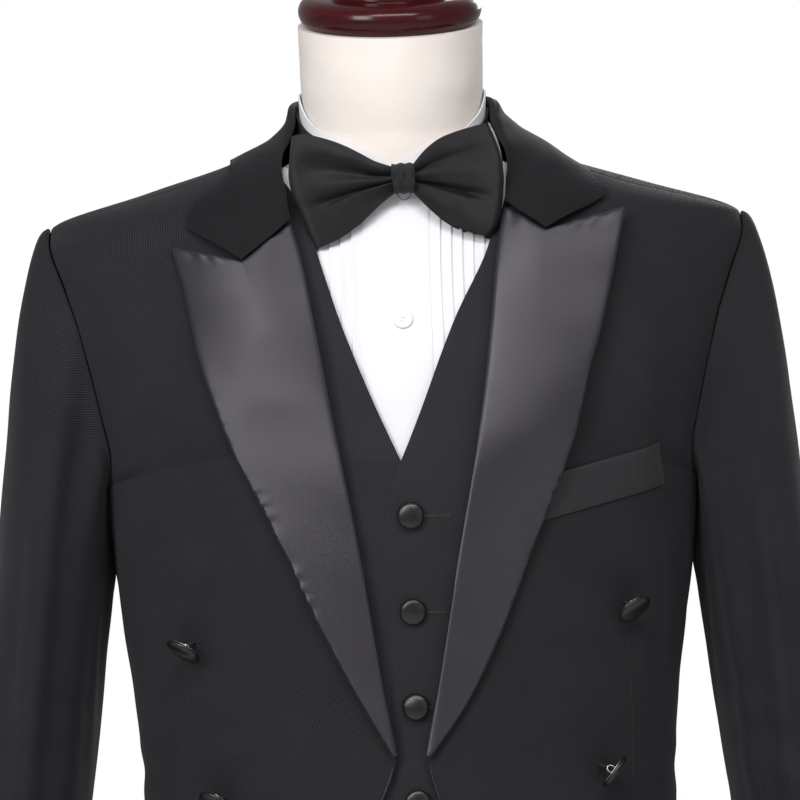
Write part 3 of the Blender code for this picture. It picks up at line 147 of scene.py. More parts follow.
# The collar's fold and its seam to the neck, from the centre back to the gorge: turn in degrees, height.
# Their backs are the same on both sides.
FOLD_BACK = ((90, 1.5380), (75, 1.5380), (60, 1.5377), (45, 1.5370), (30, 1.5358), (15, 1.5335), (0, 1.5295),
             (-15, 1.5200))
COLLAR_FOLD = {
    "left": FOLD_BACK + ((-27, 1.5075), (-38, 1.4930), (-45.5, 1.4770), (-49.6, 1.4625)),
    "right": FOLD_BACK + ((-28, 1.5065), (-40, 1.4900), (-48, 1.4715), (-52.4, 1.4545)),
}
SEAM_BACK = ((90, 1.5030), (75, 1.5035), (60, 1.5045), (45, 1.5055), (30, 1.5062), (15, 1.5068), (0, 1.5070),
             (-15, 1.5038))
NECK_SEAM = {
    "left": SEAM_BACK + ((-25, 1.4965), (-33, 1.4860), (-38.5, 1.4745), (-44.5, 1.4632)),
    "right": SEAM_BACK + ((-26, 1.4950), (-35, 1.4820), (-41, 1.4680), (-47.5, 1.4550)),
}
COLLAR_EDGE = {
    "left": ((90, 1.4940), (75, 1.4942), (60, 1.4945), (45, 1.4950), (30, 1.4955), (15, 1.4960), (3, 1.4960),
             (-6, 1.4945), (-14, 1.4900), (-21, 1.4790)),
    "right": ((90, 1.4940), (75, 1.4942), (60, 1.4945), (45, 1.4948), (30, 1.4950), (15, 1.4952), (2, 1.4950),
              (-8, 1.4942), (-17, 1.4915), (-25.5, 1.4845)),
}
COLLAR_PUFF = {"left": 0.0050, "right": 0.0004}
SHOULDER_SEAM = ((-15, 1.5038), (-18, 1.4934), (-15, 1.4793), (-9, 1.4670), (-1, SHOULDER_END - 0.0005))

# Armhole of the coat: angle from the top, turn towards the front and turn towards the back, in degrees
ARMHOLE_TURNS = (
    (0, 1.0, 1.0), (30, 4.5, 5.0), (60, 9.2, 12.0), (80, 13.0, 16.0), (105, 15.1, 19.0), (130, 15.9, 19.5),
    (150, 13.5, 15.5), (165, 8.5, 9.0), (180, 0.0, 0.0),
)
ARMHOLE_MIDDLE = 1.3731
ARMHOLE_HALF = 0.0835
SIDE_ARMHOLE_ANGLE = 245

# Coat sleeve below the cap: height, centre across, centre depth, half width, half depth
SLEEVE_SECTIONS = (
    (1.240, 0.2195, 0.0040, 0.0365, 0.0790),
    (1.190, 0.2260, 0.0060, 0.0370, 0.0770),
    (1.130, 0.2335, 0.0060, 0.0375, 0.0740),
    (1.070, 0.2410, 0.0020, 0.0375, 0.0705),
    (1.000, 0.2490, -0.0070, 0.0365, 0.0660),
    (0.930, 0.2565, -0.0190, 0.0350, 0.0610),
    (0.865, 0.2630, -0.0320, 0.0335, 0.0565),
    (0.835, 0.2660, -0.0385, 0.0330, 0.0545),
)

# Trouser leg below the crotch: height, centre across, centre depth, half width, half depth
LEG_SECTIONS = (
    (0.740, 0.0865, 0.0060, 0.0825, 0.0990),
    (0.640, 0.0880, 0.0060, 0.0770, 0.0925),
    (0.540, 0.0900, 0.0055, 0.0705, 0.0865),
    (0.440, 0.0920, 0.0050, 0.0655, 0.0815),
    (0.300, 0.0945, 0.0060, 0.0610, 0.0770),
    (0.160, 0.0965, 0.0070, 0.0575, 0.0735),
    (0.046, 0.0980, 0.0070, 0.0560, 0.0720),
)

VEST_V = {
    "left": ((0.0000, 1.3084), (0.0320, 1.3870), (0.0525, 1.4280), (0.0600, 1.4470), (0.0690, 1.4740),
             (0.0745, 1.4820), (0.0772, 1.4868)),
    "right": ((0.0000, 1.3084), (0.0330, 1.3870), (0.0485, 1.4370), (0.0545, 1.4510), (0.0605, 1.4690),
              (0.0680, 1.4780), (0.0772, 1.4868)),
}
VEST_OVERLAP = 0.010
VEST_POINT = 1.000
VEST_SIDE_HEM = 1.030
VEST_UNDER_ARM = ((0, VEST_SIDE_HEM), (0, 1.15), (0, 1.262))
VEST_FRONT_ARM = ((-12, 1.292), (-22, 1.345), (-24, 1.400), (-16, 1.440), (0, 1.4625))
VEST_BACK_ARM = ((12, 1.292), (24, 1.350), (26, 1.400), (17, 1.440), (0, 1.4625))
VEST_NECK_HEIGHT = 1.4885
VEST_BUTTON_HEIGHTS = (1.2765, 1.2190, 1.1620, 1.1045, 1.0470)
VEST_BUTTON_ACROSS = 0.0045
VEST_BUTTON_RADIUS = 0.0080

# Coat buttons, two on each front: side, middle across, height, tilt from the cloth, way they hang
COAT_BUTTONS = (
    ("left", 0.1328, 1.2170, 40, 18),
    ("left", 0.1175, 1.1200, 62, 52),
    ("right", 0.1287, 1.1990, 50, -20),
    ("right", 0.1130, 1.1060, 42, -20),
)
COAT_BUTTON_RADIUS = 0.0110
COAT_SHANK = 0.0050

WELT_CORNERS = ((0.0840, 1.2715), (0.1594, 1.2898), (0.1571, 1.3151), (0.0840, 1.2970))

TUCK_COUNT = 8
TUCK_WIDTH = 0.0066
TUCK_RISE = 0.0012
PLACKET_HALF = 0.0205
BIB_BOTTOM = 1.120
SHIRT_BUTTON_HEIGHT = 1.3917
SHIRT_BUTTON_RADIUS = 0.0057
SHIRT_HOLE_OUT = 0.0011
SHIRT_HOLE_RADIUS = 0.00042

BOW_CENTRE = (0.0055, -0.0790, 1.4790)
BOW_TILT = 2.0
# Outline of each wing of the bow, in millimetres from the knot: across and up
BOW_TOP = {
    "left": ((6.0, 7.4), (11.2, 13.3), (16.5, 18.1), (23.8, 22.7), (31.0, 25.3), (41.3, 27.9), (53.6, 30.5)),
    "right": ((7.0, 7.6), (16.2, 11.0), (25.6, 16.6), (33.9, 21.3), (42.2, 25.1), (50.3, 27.9), (58.4, 30.1),
              (65.6, 29.3)),
}
BOW_BOTTOM = {
    "left": ((6.1, -9.4), (13.4, -17.6), (24.0, -27.4), (33.0, -32.8), (42.0, -36.4), (50.5, -38.6)),
    "right": ((6.9, -9.2), (13.4, -13.8), (22.0, -20.9), (30.6, -27.9), (40.1, -34.0), (50.1, -38.0),
              (55.2, -39.6)),
}
BOW_END = {
    "left": ((53.6, 30.5), (57.7, 19.6), (60.1, 8.4), (60.4, -2.7), (59.3, -12.7), (57.6, -23.5),
             (55.2, -32.4), (50.5, -38.6)),
    "right": ((65.6, 29.3), (67.5, 17.0), (68.8, 5.2), (67.0, -6.6), (64.2, -14.2), (60.0, -27.0),
              (55.2, -39.6)),
}

POLE_ACROSS = 0.092
POLE_RADIUS = 0.0125
BASE_RADIUS = 0.190
BASE_HEIGHT = 0.006

SIDES = (("left", 1), ("right", -1))
# The usual distance from the body's axis, in metres, by which turns and heights are compared
TURN_REACH = 0.16
# Half the turn and half the height over which a body's slope is taken
NORMAL_TURN = 0.02
NORMAL_STEP = 0.002


# Curves and surfaces

def smooth_curve(places, values):
    """A cubic through the points that never overshoots them, as a function."""
    places, values = np.array(places, float), np.array(values, float)
    steps = np.diff(places)
    slopes = np.diff(values) / steps
    tangents = np.zeros_like(values)
    tangents[0], tangents[-1] = slopes[0], slopes[-1]
    for i in range(1, len(places) - 1):
        if slopes[i - 1] * slopes[i] > 0:
            before, after = 2 * steps[i] + steps[i - 1], steps[i] + 2 * steps[i - 1]
            tangents[i] = (before + after) / (before / slopes[i - 1] + after / slopes[i])

    def value(x):
        x = np.clip(x, places[0], places[-1])
        i = np.clip(np.searchsorted(places, x) - 1, 0, len(places) - 2)
        t = (x - places[i]) / steps[i]
        rising = (1 + 2 * t) * (1 - t) ** 2 * values[i] + t * t * (3 - 2 * t) * values[i + 1]
        bending = t * (1 - t) ** 2 * tangents[i] + t * t * (t - 1) * tangents[i + 1]
        return rising + steps[i] * bending

    return value


def ease(low, high, x):
    """0 at low, 1 at high, smooth between and level beyond."""
    t = np.clip((np.asarray(x, float) - low) / (high - low), 0, 1)
    return t * t * (3 - 2 * t)


class Body:
    """A torso, or the cloth round it, as oval horizontal sections. turn 0 is +X, -90 degrees the front."""

    def __init__(self, sections, tilt=0.0):
        heights, halves, fronts, backs, squares = zip(*sorted(sections))
        self.half = smooth_curve(heights, halves)
        self.front = smooth_curve(heights, fronts)
        self.back = smooth_curve(heights, backs)
        self.square = smooth_curve(heights, squares)
        self.tilt = tilt

    def point(self, turn, z):
        turn, z = np.broadcast_arrays(np.asarray(turn, float), np.asarray(z, float))
        across, along = np.cos(turn), np.sin(turn)
        depth = np.where(along < 0, self.front(z), self.back(z))
        power = self.square(z)
        reach = (abs(across / self.half(z)) ** power + abs(along / depth) ** power) ** (-1 / power)
        lean = self.tilt * ease(*NECK_LEAN, z) * reach * along
        return np.stack([reach * across, reach * along, z + lean], axis=-1)

    def normal(self, turn, z):
        around = self.point(turn + NORMAL_TURN, z) - self.point(turn - NORMAL_TURN, z)
        upward = self.point(turn, z + NORMAL_STEP) - self.point(turn, z - NORMAL_STEP)
        out = np.cross(around, upward)
        return out / np.linalg.norm(out, axis=-1, keepdims=True)

    def lifted(self, turn, z, lift):
        lift = np.asarray(lift, float)[..., None]
        return self.point(turn, z) + self.normal(turn, z) * lift

    def turn_at(self, across, z, behind=False):
        across, z = np.asarray(across, float), np.asarray(z, float)
        power = self.square(z)
        share = np.clip(1 - abs(across / self.half(z)) ** power, 0, 1) ** (1 / power)
        depth = self.back(z) * share if behind else -self.front(z) * share
        return np.arctan2(depth, across)

    def curve(self, table):
        rows = np.array(table, float)
        return np.stack([self.turn_at(rows[:, 0], rows[:, 1]), rows[:, 1]], axis=-1)


FORM = Body(FORM_SECTIONS, NECK_TILT)
COAT = Body(COAT_SECTIONS)
TROUSERS = Body(TROUSER_SECTIONS)


def chord(curve, reach=TURN_REACH):
    """Lengths along a curve, with its turns counted in metres."""
    curve = np.array(curve, float)
    scaled = curve * np.array([reach] + [1.0] * (curve.shape[1] - 1))
    return np.concatenate([[0], np.cumsum(np.linalg.norm(np.diff(scaled, axis=0), axis=1))])


def smooth(curve, reach=TURN_REACH, fine=24):
    """The rows joined by a smooth curve, as many points."""
    curve = np.array(curve, float)
    if len(curve) < 3:
        return curve
    far = chord(curve, reach)
    places = np.linspace(0, far[-1], fine * (len(curve) - 1) + 1)
    return np.stack([smooth_curve(far, column)(places) for column in curve.T], axis=-1)


def divide(curve, steps, reach=TURN_REACH):
    """The curve's points spaced evenly: steps + 1 of them."""
    curve = np.array(curve, float)
    far = chord(curve, reach)
    places = np.linspace(0, far[-1], steps + 1)
    return np.stack([np.interp(places, far, column) for column in curve.T], axis=-1)


def soft(curve, steps, reach=TURN_REACH):
    """A smooth curve through the rows, spaced evenly."""
    return divide(smooth(curve, reach), steps, reach)


def join(*curves):
    """Curves end to end, where each starts at the end of the one before it."""
    return np.concatenate([curves[0]] + [c[1:] for c in curves[1:]])


def radians(rows):
    """Rows of turn and height, with the turn in radians."""
    return np.array([(math.radians(turn), z) for turn, z in rows])


def shifted(curve, turn=0.0, height=0.0):
    return np.asarray(curve, float) + np.array([turn, height])


def fill_patch(bottom, top, left, right, grip=1.0):
    """A grid between four edges. bottom and top run left to right, left and right run upward."""
    across = np.linspace(0, 1, len(bottom))[None, :, None]
    upward = np.linspace(0, 1, len(left))[:, None, None]
    straight = (1 - across) * left[:, None] + across * right[:, None]
    low = bottom[None] - (1 - across) * bottom[0] - across * bottom[-1]
    high = top[None] - (1 - across) * top[0] - across * top[-1]
    return straight + (1 - upward) ** grip * low + upward ** grip * high


def grid_normals(points, wrap=False):
    """The way each point of a grid faces."""
    if wrap:
        across = np.roll(points, -1, axis=1) - np.roll(points, 1, axis=1)
    else:
        across = np.gradient(points, axis=1)
    upward = np.gradient(points, axis=0)
    out = np.cross(across, upward)
    return out / np.maximum(np.linalg.norm(out, axis=-1, keepdims=True), 1e-12)


def mirror_turns(grid):
    """Turns and heights on the body's other side."""
    made = grid.copy()
    made[..., 0] = math.pi - made[..., 0]
    return made


def mirror_points(points):
    return points * np.array([-1.0, 1.0, 1.0])


def sided(grid, sign):
    """A grid worked out for the wearer's left, or its mirror image."""
    return mirror_turns(grid) if sign < 0 else grid


def bell(x):
    return np.exp(-x ** 2)


def unit(vector):
    return vector / np.linalg.norm(vector)


def off_angle(degrees, middle):
    """How far an angle is from another, from -180 to 180."""
    return (degrees - middle + 180) % 360 - 180


def ripple(a, b, size, seed):
    """A smooth irregular wave over two coordinates, about -1 to 1, with bumps about this size."""
    draw = np.random.default_rng(seed)
    total = np.zeros(np.broadcast(a, b).shape)
    for _ in range(7):
        way, phase = draw.uniform(0, 2 * math.pi, 2)
        pace = 2 * math.pi / (size * draw.uniform(0.7, 1.9))
        total = total + np.sin(pace * (a * math.cos(way) + b * math.sin(way)) + phase)
    return total / 3.2


# Soft creases in the cloth. Each row is a crease's view, start and end, half width and depth.
# A view is front, back, side_left or side_right. A place in it is across (or depth, for a side) and height.
# A ridge has a positive depth and a trough a negative one.

VIEW_AXIS = {"front": 0, "back": 0, "side_left": 1, "side_right": 1}


def crease_height(points, rows):
    """How far each point is moved out by the creases."""
    total = np.zeros(points.shape[:-1])
    body_turn = np.arctan2(points[..., 1], points[..., 0])
    facing = {"front": -np.sin(body_turn), "back": np.sin(body_turn),
              "side_left": np.cos(body_turn), "side_right": -np.cos(body_turn)}
    for view, a0, z0, a1, z1, width, depth in rows:
        place = np.stack([points[..., VIEW_AXIS[view]], points[..., 2]], axis=-1)
        start, way = np.array([a0, z0]), np.array([a1 - a0, z1 - z0])
        long = np.dot(way, way)
        along = ((place - start) @ way) / long
        off = place - start - np.clip(along, 0, 1)[..., None] * way
        far = np.linalg.norm(off, axis=-1) / width
        swell = bell(far) - 0.32 * bell((far - 1.75) / 0.75)
        fade = ease(-0.18, 0.22, along) * ease(1.18, 0.72, along)
        total += depth * swell * fade * ease(-0.1, 0.35, facing[view])
    return total


# Places in metres in the garment's own frame
COAT_CREASES = (
    # soft hollows beside the armholes and folds that run down from them
    ("front", 0.172, 1.392, 0.160, 1.300, 0.0120, -0.0016),
    ("front", 0.158, 1.380, 0.149, 1.322, 0.0080, 0.0008),
    ("front", -0.176, 1.380, -0.163, 1.290, 0.0110, -0.0013),
    ("front", 0.164, 1.302, 0.166, 1.130, 0.0120, -0.0034),
    ("front", 0.156, 1.318, 0.170, 1.288, 0.0065, -0.0013),
    ("front", 0.152, 1.262, 0.156, 1.170, 0.0100, 0.0013),
    ("front", -0.158, 1.268, -0.166, 1.180, 0.0120, -0.0016),
    ("front", -0.138, 1.300, -0.152, 1.215, 0.0110, 0.0009),
    # drag lines from the buttons and across the waist
    ("front", -0.128, 1.206, -0.118, 1.238, 0.0050, -0.0009),
    ("front", 0.137, 1.236, 0.142, 1.205, 0.0050, -0.0008),
    ("front", 0.100, 1.150, 0.148, 1.128, 0.0090, -0.0009),
    ("front", -0.092, 1.158, -0.146, 1.134, 0.0100, -0.0010),
    ("front", 0.060, 1.098, 0.120, 1.076, 0.0080, -0.0006),
    ("front", -0.058, 1.110, -0.124, 1.082, 0.0090, -0.0007),
    # chest
    ("front", 0.128, 1.440, 0.150, 1.340, 0.0200, 0.0012),
    ("front", -0.122, 1.430, -0.146, 1.340, 0.0200, 0.0012),
    # side panels: soft drags towards the waist
    ("side_left", -0.030, 1.262, 0.020, 1.150, 0.0120, -0.0012),
    ("side_left", 0.052, 1.270, 0.028, 1.140, 0.0110, -0.0014),
    ("side_left", -0.050, 1.120, 0.060, 1.100, 0.0080, -0.0010),
    ("side_right", -0.026, 1.268, 0.016, 1.158, 0.0120, -0.0013),
    ("side_right", 0.048, 1.262, 0.030, 1.130, 0.0110, -0.0012),
    ("side_right", -0.046, 1.126, 0.064, 1.104, 0.0080, -0.0011),
    # back: hollows under the shoulder blades, drags at the waist and soft folds by the armholes
    ("back", 0.120, 1.420, 0.086, 1.300, 0.0180, -0.0018),
    ("back", -0.124, 1.414, -0.090, 1.290, 0.0180, -0.0016),
    ("back", 0.148, 1.380, 0.120, 1.250, 0.0120, 0.0012),
    ("back", -0.146, 1.388, -0.124, 1.262, 0.0120, 0.0014),
    ("back", 0.030, 1.150, 0.104, 1.118, 0.0090, -0.0014),
    ("back", -0.026, 1.160, -0.098, 1.122, 0.0100, -0.0013),
    ("back", 0.020, 1.105, 0.088, 1.092, 0.0070, -0.0009),
    ("back", -0.022, 1.112, -0.092, 1.098, 0.0070, -0.0010),
    ("back", 0.010, 1.470, 0.090, 1.452, 0.0100, -0.0008),
    ("back", -0.012, 1.468, -0.084, 1.455, 0.0100, -0.0007),
    # tails: long soft folds that open towards the hem
    ("back", 0.044, 1.020, 0.056, 0.540, 0.0140, 0.0026),
    ("back", 0.084, 0.980, 0.102, 0.520, 0.0150, -0.0026),
    ("back", -0.050, 1.010, -0.060, 0.530, 0.0150, 0.0024),
    ("back", -0.090, 0.990, -0.098, 0.510, 0.0140, -0.0028),
    ("back", 0.120, 0.960, 0.132, 0.560, 0.0110, 0.0020),
    ("back", -0.126, 0.950, -0.130, 0.600, 0.0110, 0.0019),
)
VEST_CREASES = (
    ("front", 0.016, 1.262, 0.090, 1.240, 0.0070, -0.0006),
    ("front", -0.012, 1.252, -0.100, 1.236, 0.0080, -0.0006),
    ("front", 0.018, 1.196, 0.096, 1.186, 0.0070, -0.0007),
    ("front", -0.014, 1.204, -0.090, 1.180, 0.0080, -0.0006),
    ("front", 0.014, 1.090, 0.080, 1.082, 0.0060, -0.0007),
    ("front", -0.012, 1.134, -0.096, 1.110, 0.0070, -0.0007),
    ("back", 0.020, 1.130, 0.100, 1.110, 0.0080, -0.0008),
    ("back", -0.020, 1.150, -0.100, 1.120, 0.0080, -0.0008),
)


def coat_relief(points):
    """Creases and a slight unevenness of the coat, the same for all that is sewn on it."""
    calm = ease(1.495, 1.470, points[..., 2])
    around = np.arctan2(points[..., 1], points[..., 0]) * TURN_REACH
    uneven = 0.00028 * ripple(around, points[..., 2], 0.055, 3)
    return (crease_height(points, COAT_CREASES) + uneven) * calm


def vest_relief(points):
    around = np.arctan2(points[..., 1], points[..., 0]) * TURN_REACH
    return crease_height(points, VEST_CREASES) + 0.00016 * ripple(around, points[..., 2], 0.045, 5)


# Materials. Each cloth's weave is laid out in metres along and across its panel.

def node(tree, kind, **settings):
    made = tree.nodes.new(kind)
    for key, value in settings.items():
        if key.startswith("in_"):
            slot_key = key[3:]
            made.inputs[int(slot_key) if slot_key.isdigit() else slot_key].default_value = value
        else:
            setattr(made, key, value)
    return made


def math_node(tree, operation, first, second=None):
    made = tree.nodes.new("ShaderNodeMath")
    made.operation = operation
    for place, value in enumerate((first, second)):
        if value is None:
            continue
        if isinstance(value, (int, float)):
            made.inputs[place].default_value = value
        else:
            tree.links.new(value, made.inputs[place])
    return made.outputs[0]


def ramp_colour(tree, factor, low, high):
    """A colour between two, by a factor from 0 to 1."""
    mix = tree.nodes.new("ShaderNodeMix")
    mix.data_type = "RGBA"
    tree.links.new(factor, mix.inputs[0])
    mix.inputs[6].default_value = (*low, 1)
    mix.inputs[7].default_value = (*high, 1)
    return mix.outputs[2]


def thread_wave(tree, place, across, upward):
    """A sine from 0 to 1 of stripes: so many per metre across and upward."""
    dot = tree.nodes.new("ShaderNodeVectorMath")
    dot.operation = "DOT_PRODUCT"
    tree.links.new(place, dot.inputs[0])
    dot.inputs[1].default_value = (2 * math.pi * across, 2 * math.pi * upward, 0)
    wave = math_node(tree, "SINE", dot.outputs["Value"])
    return math_node(tree, "MULTIPLY_ADD", wave, 0.5)


def noise(tree, place, scale, detail=2.0):
    made = node(tree, "ShaderNodeTexNoise", in_Scale=scale, in_Detail=detail, in_Roughness=0.6)
    tree.links.new(place, made.inputs["Vector"])
    return made.outputs["Fac"]


def new_material(name, base, roughness, **settings):
    made = bpy.data.materials.new(name)
    made.use_nodes = True
    shader = made.node_tree.nodes["Principled BSDF"]
    shader.inputs["Base Color"].default_value = (*base, 1)
    shader.inputs["Roughness"].default_value = roughness
    for key, value in settings.items():
        shader.inputs[key.replace("_", " ")].default_value = value
    return made, made.node_tree, shader


def cloth_material(name, dark, light, roughness, waves, grain, depth, patch=0.25, **settings):
    """A woven cloth. waves are stripes (across, upward) per metre that make its weave, grain the scale of its
    fibres, depth the height of its threads and patch how far its tone wanders."""
    made, tree, shader = new_material(name, dark, roughness, **settings)
    place = node(tree, "ShaderNodeUVMap", uv_map="Cloth").outputs["UV"]
    height = None
    for across, upward in waves:
        wave = thread_wave(tree, place, across, upward)
        wave.node.inputs[2].default_value = 0.5
        height = wave if height is None else math_node(tree, "MULTIPLY", height, wave)
    fibres = noise(tree, place, grain, 3.0)
    height = math_node(tree, "MULTIPLY", height, math_node(tree, "ADD", fibres, 0.35))
    wander = math_node(tree, "MULTIPLY_ADD", noise(tree, place, 26.0), patch)
    wander.node.inputs[2].default_value = -0.5 * patch
    tone = math_node(tree, "ADD", height, wander)
    tree.links.new(ramp_colour(tree, tone, dark, light), shader.inputs["Base Color"])
    rough = math_node(tree, "MULTIPLY_ADD", fibres, 0.18)
    rough.node.inputs[2].default_value = roughness - 0.09
    tree.links.new(rough, shader.inputs["Roughness"])
    bump = node(tree, "ShaderNodeBump", in_Strength=1.0, in_Distance=depth)
    tree.links.new(height, bump.inputs["Height"])
    tree.links.new(bump.outputs["Normal"], shader.inputs["Normal"])
    return made


WOOL_SHEEN = dict(Sheen_Weight=0.05, Sheen_Roughness=0.5, Sheen_Tint=(0.90, 0.88, 1.0, 1),
                  Specular_IOR_Level=0.18)
LOOKS = {
    "wool": cloth_material("wool_twill", (0.0050, 0.0048, 0.0060), (0.0260, 0.0250, 0.0300), 0.74,
                           [(640, -420)], 1300, 0.00024, 0.34, **WOOL_SHEEN),
    "wool_vest": cloth_material("wool_twill_vest", (0.0080, 0.0078, 0.0092), (0.0340, 0.0330, 0.0390), 0.72,
                                [(620, -420)], 1300, 0.00024, 0.25, **WOOL_SHEEN),
    "satin": cloth_material("facing_satin", (0.0030, 0.0028, 0.0038), (0.025, 0.0232, 0.0290), 0.33,
                            [(1900, 2700)], 900, 0.00004, 0.50, Specular_IOR_Level=0.66,
                            Specular_Tint=(0.96, 0.91, 1.0, 1), Sheen_Weight=0.10, Sheen_Roughness=0.3,
                            Sheen_Tint=(0.95, 0.88, 1.0, 1)),
    # The bow satin also darkens the cord along each lapel's edge, as painted shade
    "bow_satin": cloth_material("bow_satin", (0.0018, 0.0017, 0.0023), (0.0115, 0.0110, 0.0135), 0.48,
                                [(1500, 900)], 560, 0.00016, 0.35, Specular_IOR_Level=0.32,
                                Sheen_Weight=0.04, Sheen_Roughness=0.35),
    "button_satin": cloth_material("button_satin", (0.0024, 0.0023, 0.0030), (0.0110, 0.0105, 0.0130), 0.30,
                                   [(1500, 900)], 1300, 0.00003, 0.30, Specular_IOR_Level=0.50),
    "wool_collar": cloth_material("wool_twill_collar", (0.0022, 0.0021, 0.0028), (0.0130, 0.0124, 0.0150),
                                  0.74, [(640, -420)], 1300, 0.00024, 0.34, **WOOL_SHEEN),
    "grosgrain": cloth_material("welt_satin", (0.0085, 0.0082, 0.0098), (0.030, 0.029, 0.034), 0.55,
                                [(700, 0)], 1800, 0.00014, 0.30, Specular_IOR_Level=0.35,
                                Sheen_Weight=0.08, Sheen_Roughness=0.4),
    "cotton": cloth_material("shirt_cotton", (0.74, 0.74, 0.775), (0.88, 0.88, 0.90), 0.85,
                             [(2400, 0), (0, 2400)], 3000, 0.00004, 0.06, Sheen_Weight=0.1),
    "linen": cloth_material("form_linen", (0.775, 0.700, 0.650), (0.92, 0.875, 0.835), 0.9,
                            [(1150, 0), (0, 1050)], 1700, 0.00012, 0.22, Sheen_Weight=0.15),
}


def wood_material():
    made, tree, shader = new_material("lacquered_wood", (0.05, 0.004, 0.006), 0.22, Coat_Weight=0.12,
                                      Coat_Roughness=0.08, Specular_IOR_Level=0.22)
    place = node(tree, "ShaderNodeTexCoord").outputs["Object"]
    stretch = node(tree, "ShaderNodeMapping", in_Scale=(26.0, 26.0, 160.0))
    tree.links.new(place, stretch.inputs["Vector"])
    rings = noise(tree, stretch.outputs["Vector"], 1.6, 4.0)
    tree.links.new(ramp_colour(tree, rings, (0.012, 0.0012, 0.0018), (0.070, 0.004, 0.006)),
                   shader.inputs["Base Color"])
    return made


def plain_material(name, low, high, roughness, scale, **settings):
    """A hard material whose tone varies a little."""
    made, tree, shader = new_material(name, low, roughness, **settings)
    place = node(tree, "ShaderNodeTexCoord").outputs["Object"]
    wander = noise(tree, place, scale, 3.0)
    tree.links.new(ramp_colour(tree, wander, low, high), shader.inputs["Base Color"])
    rough = math_node(tree, "MULTIPLY_ADD", wander, 0.12)
    rough.node.inputs[2].default_value = roughness - 0.06
    tree.links.new(rough, shader.inputs["Roughness"])
    return made


LOOKS["wood"] = wood_material()


# Hard materials: name, darker tone, lighter tone, roughness, scale of their unevenness, settings
HARD_LOOKS = {
    "steel": ("brushed_steel", (0.52, 0.52, 0.54), (0.66, 0.66, 0.68), 0.30, 60, {"Metallic": 1.0}),
    # The shank steel also colours the pale ring round each coat button's rim, which is a painted highlight
    "shank": ("shank_steel_and_rim_highlight", (0.42, 0.42, 0.43), (0.58, 0.58, 0.59), 0.24, 400, {"Metallic": 1.0}),
    "pearl": ("pearl_button", (0.78, 0.78, 0.79), (0.90, 0.90, 0.91), 0.28, 300, {"Coat_Weight": 0.4}),
    "thread": ("black_thread", (0.006, 0.006, 0.007), (0.020, 0.020, 0.022), 0.75, 900, {}),
    "pale_thread": ("pale_thread", (0.45, 0.45, 0.47), (0.75, 0.75, 0.77), 0.8, 900, {}),
    "hook": ("hook_steel", (0.05, 0.05, 0.052), (0.09, 0.09, 0.092), 0.30, 400, {"Metallic": 0.5}),
}
for look, (*tones, settings) in HARD_LOOKS.items():
    LOOKS[look] = plain_material(*tones, **settings)


# Meshes

EXTRAS = {}


# Edges that turn by more degrees than this are shaded sharp
SHARP_ANGLE = 48


def finish_mesh(name, points, faces, corner_uv, look, sharp=SHARP_ANGLE):
    mesh = bpy.data.meshes.new(name)
    points = np.asarray(points, float)
    mesh.from_pydata(points.tolist(), [], [tuple(face) for face in faces])
    layer = mesh.uv_layers.new(name="Cloth")
    layer.data.foreach_set("uv", np.asarray(corner_uv, np.float32).ravel())
    mesh.update()
    mesh.materials.append(LOOKS[look])
    mesh.shade_smooth()
    mesh.set_sharp_from_angle(angle=math.radians(sharp))
    made = bpy.data.objects.new(name, mesh)
    bpy.context.scene.collection.objects.link(made)
    return made


def uv_of(outer, wrap=False):
    """Across and along, in metres, for each point of a grid: threads run up the panel."""
    closed = np.concatenate([outer, outer[:, :1]], axis=1) if wrap else outer
    step = np.linalg.norm(np.diff(closed, axis=1), axis=-1)
    across = np.concatenate([np.zeros((len(outer), 1)), np.cumsum(step, axis=1)], axis=1)
    middle = closed.shape[1] // 2
    across = across - across[:, middle:middle + 1] + closed[:, middle:middle + 1, 0]
    rise = np.linalg.norm(np.diff(closed, axis=0), axis=-1).mean(axis=1)
    along = np.concatenate([[0], np.cumsum(rise)])[:, None] * np.ones((1, closed.shape[1]))
    if closed[0, :, 2].mean() > closed[-1, :, 2].mean():
        along = -along
    return np.stack([across, along + closed[0, :, 2].mean()], axis=-1)


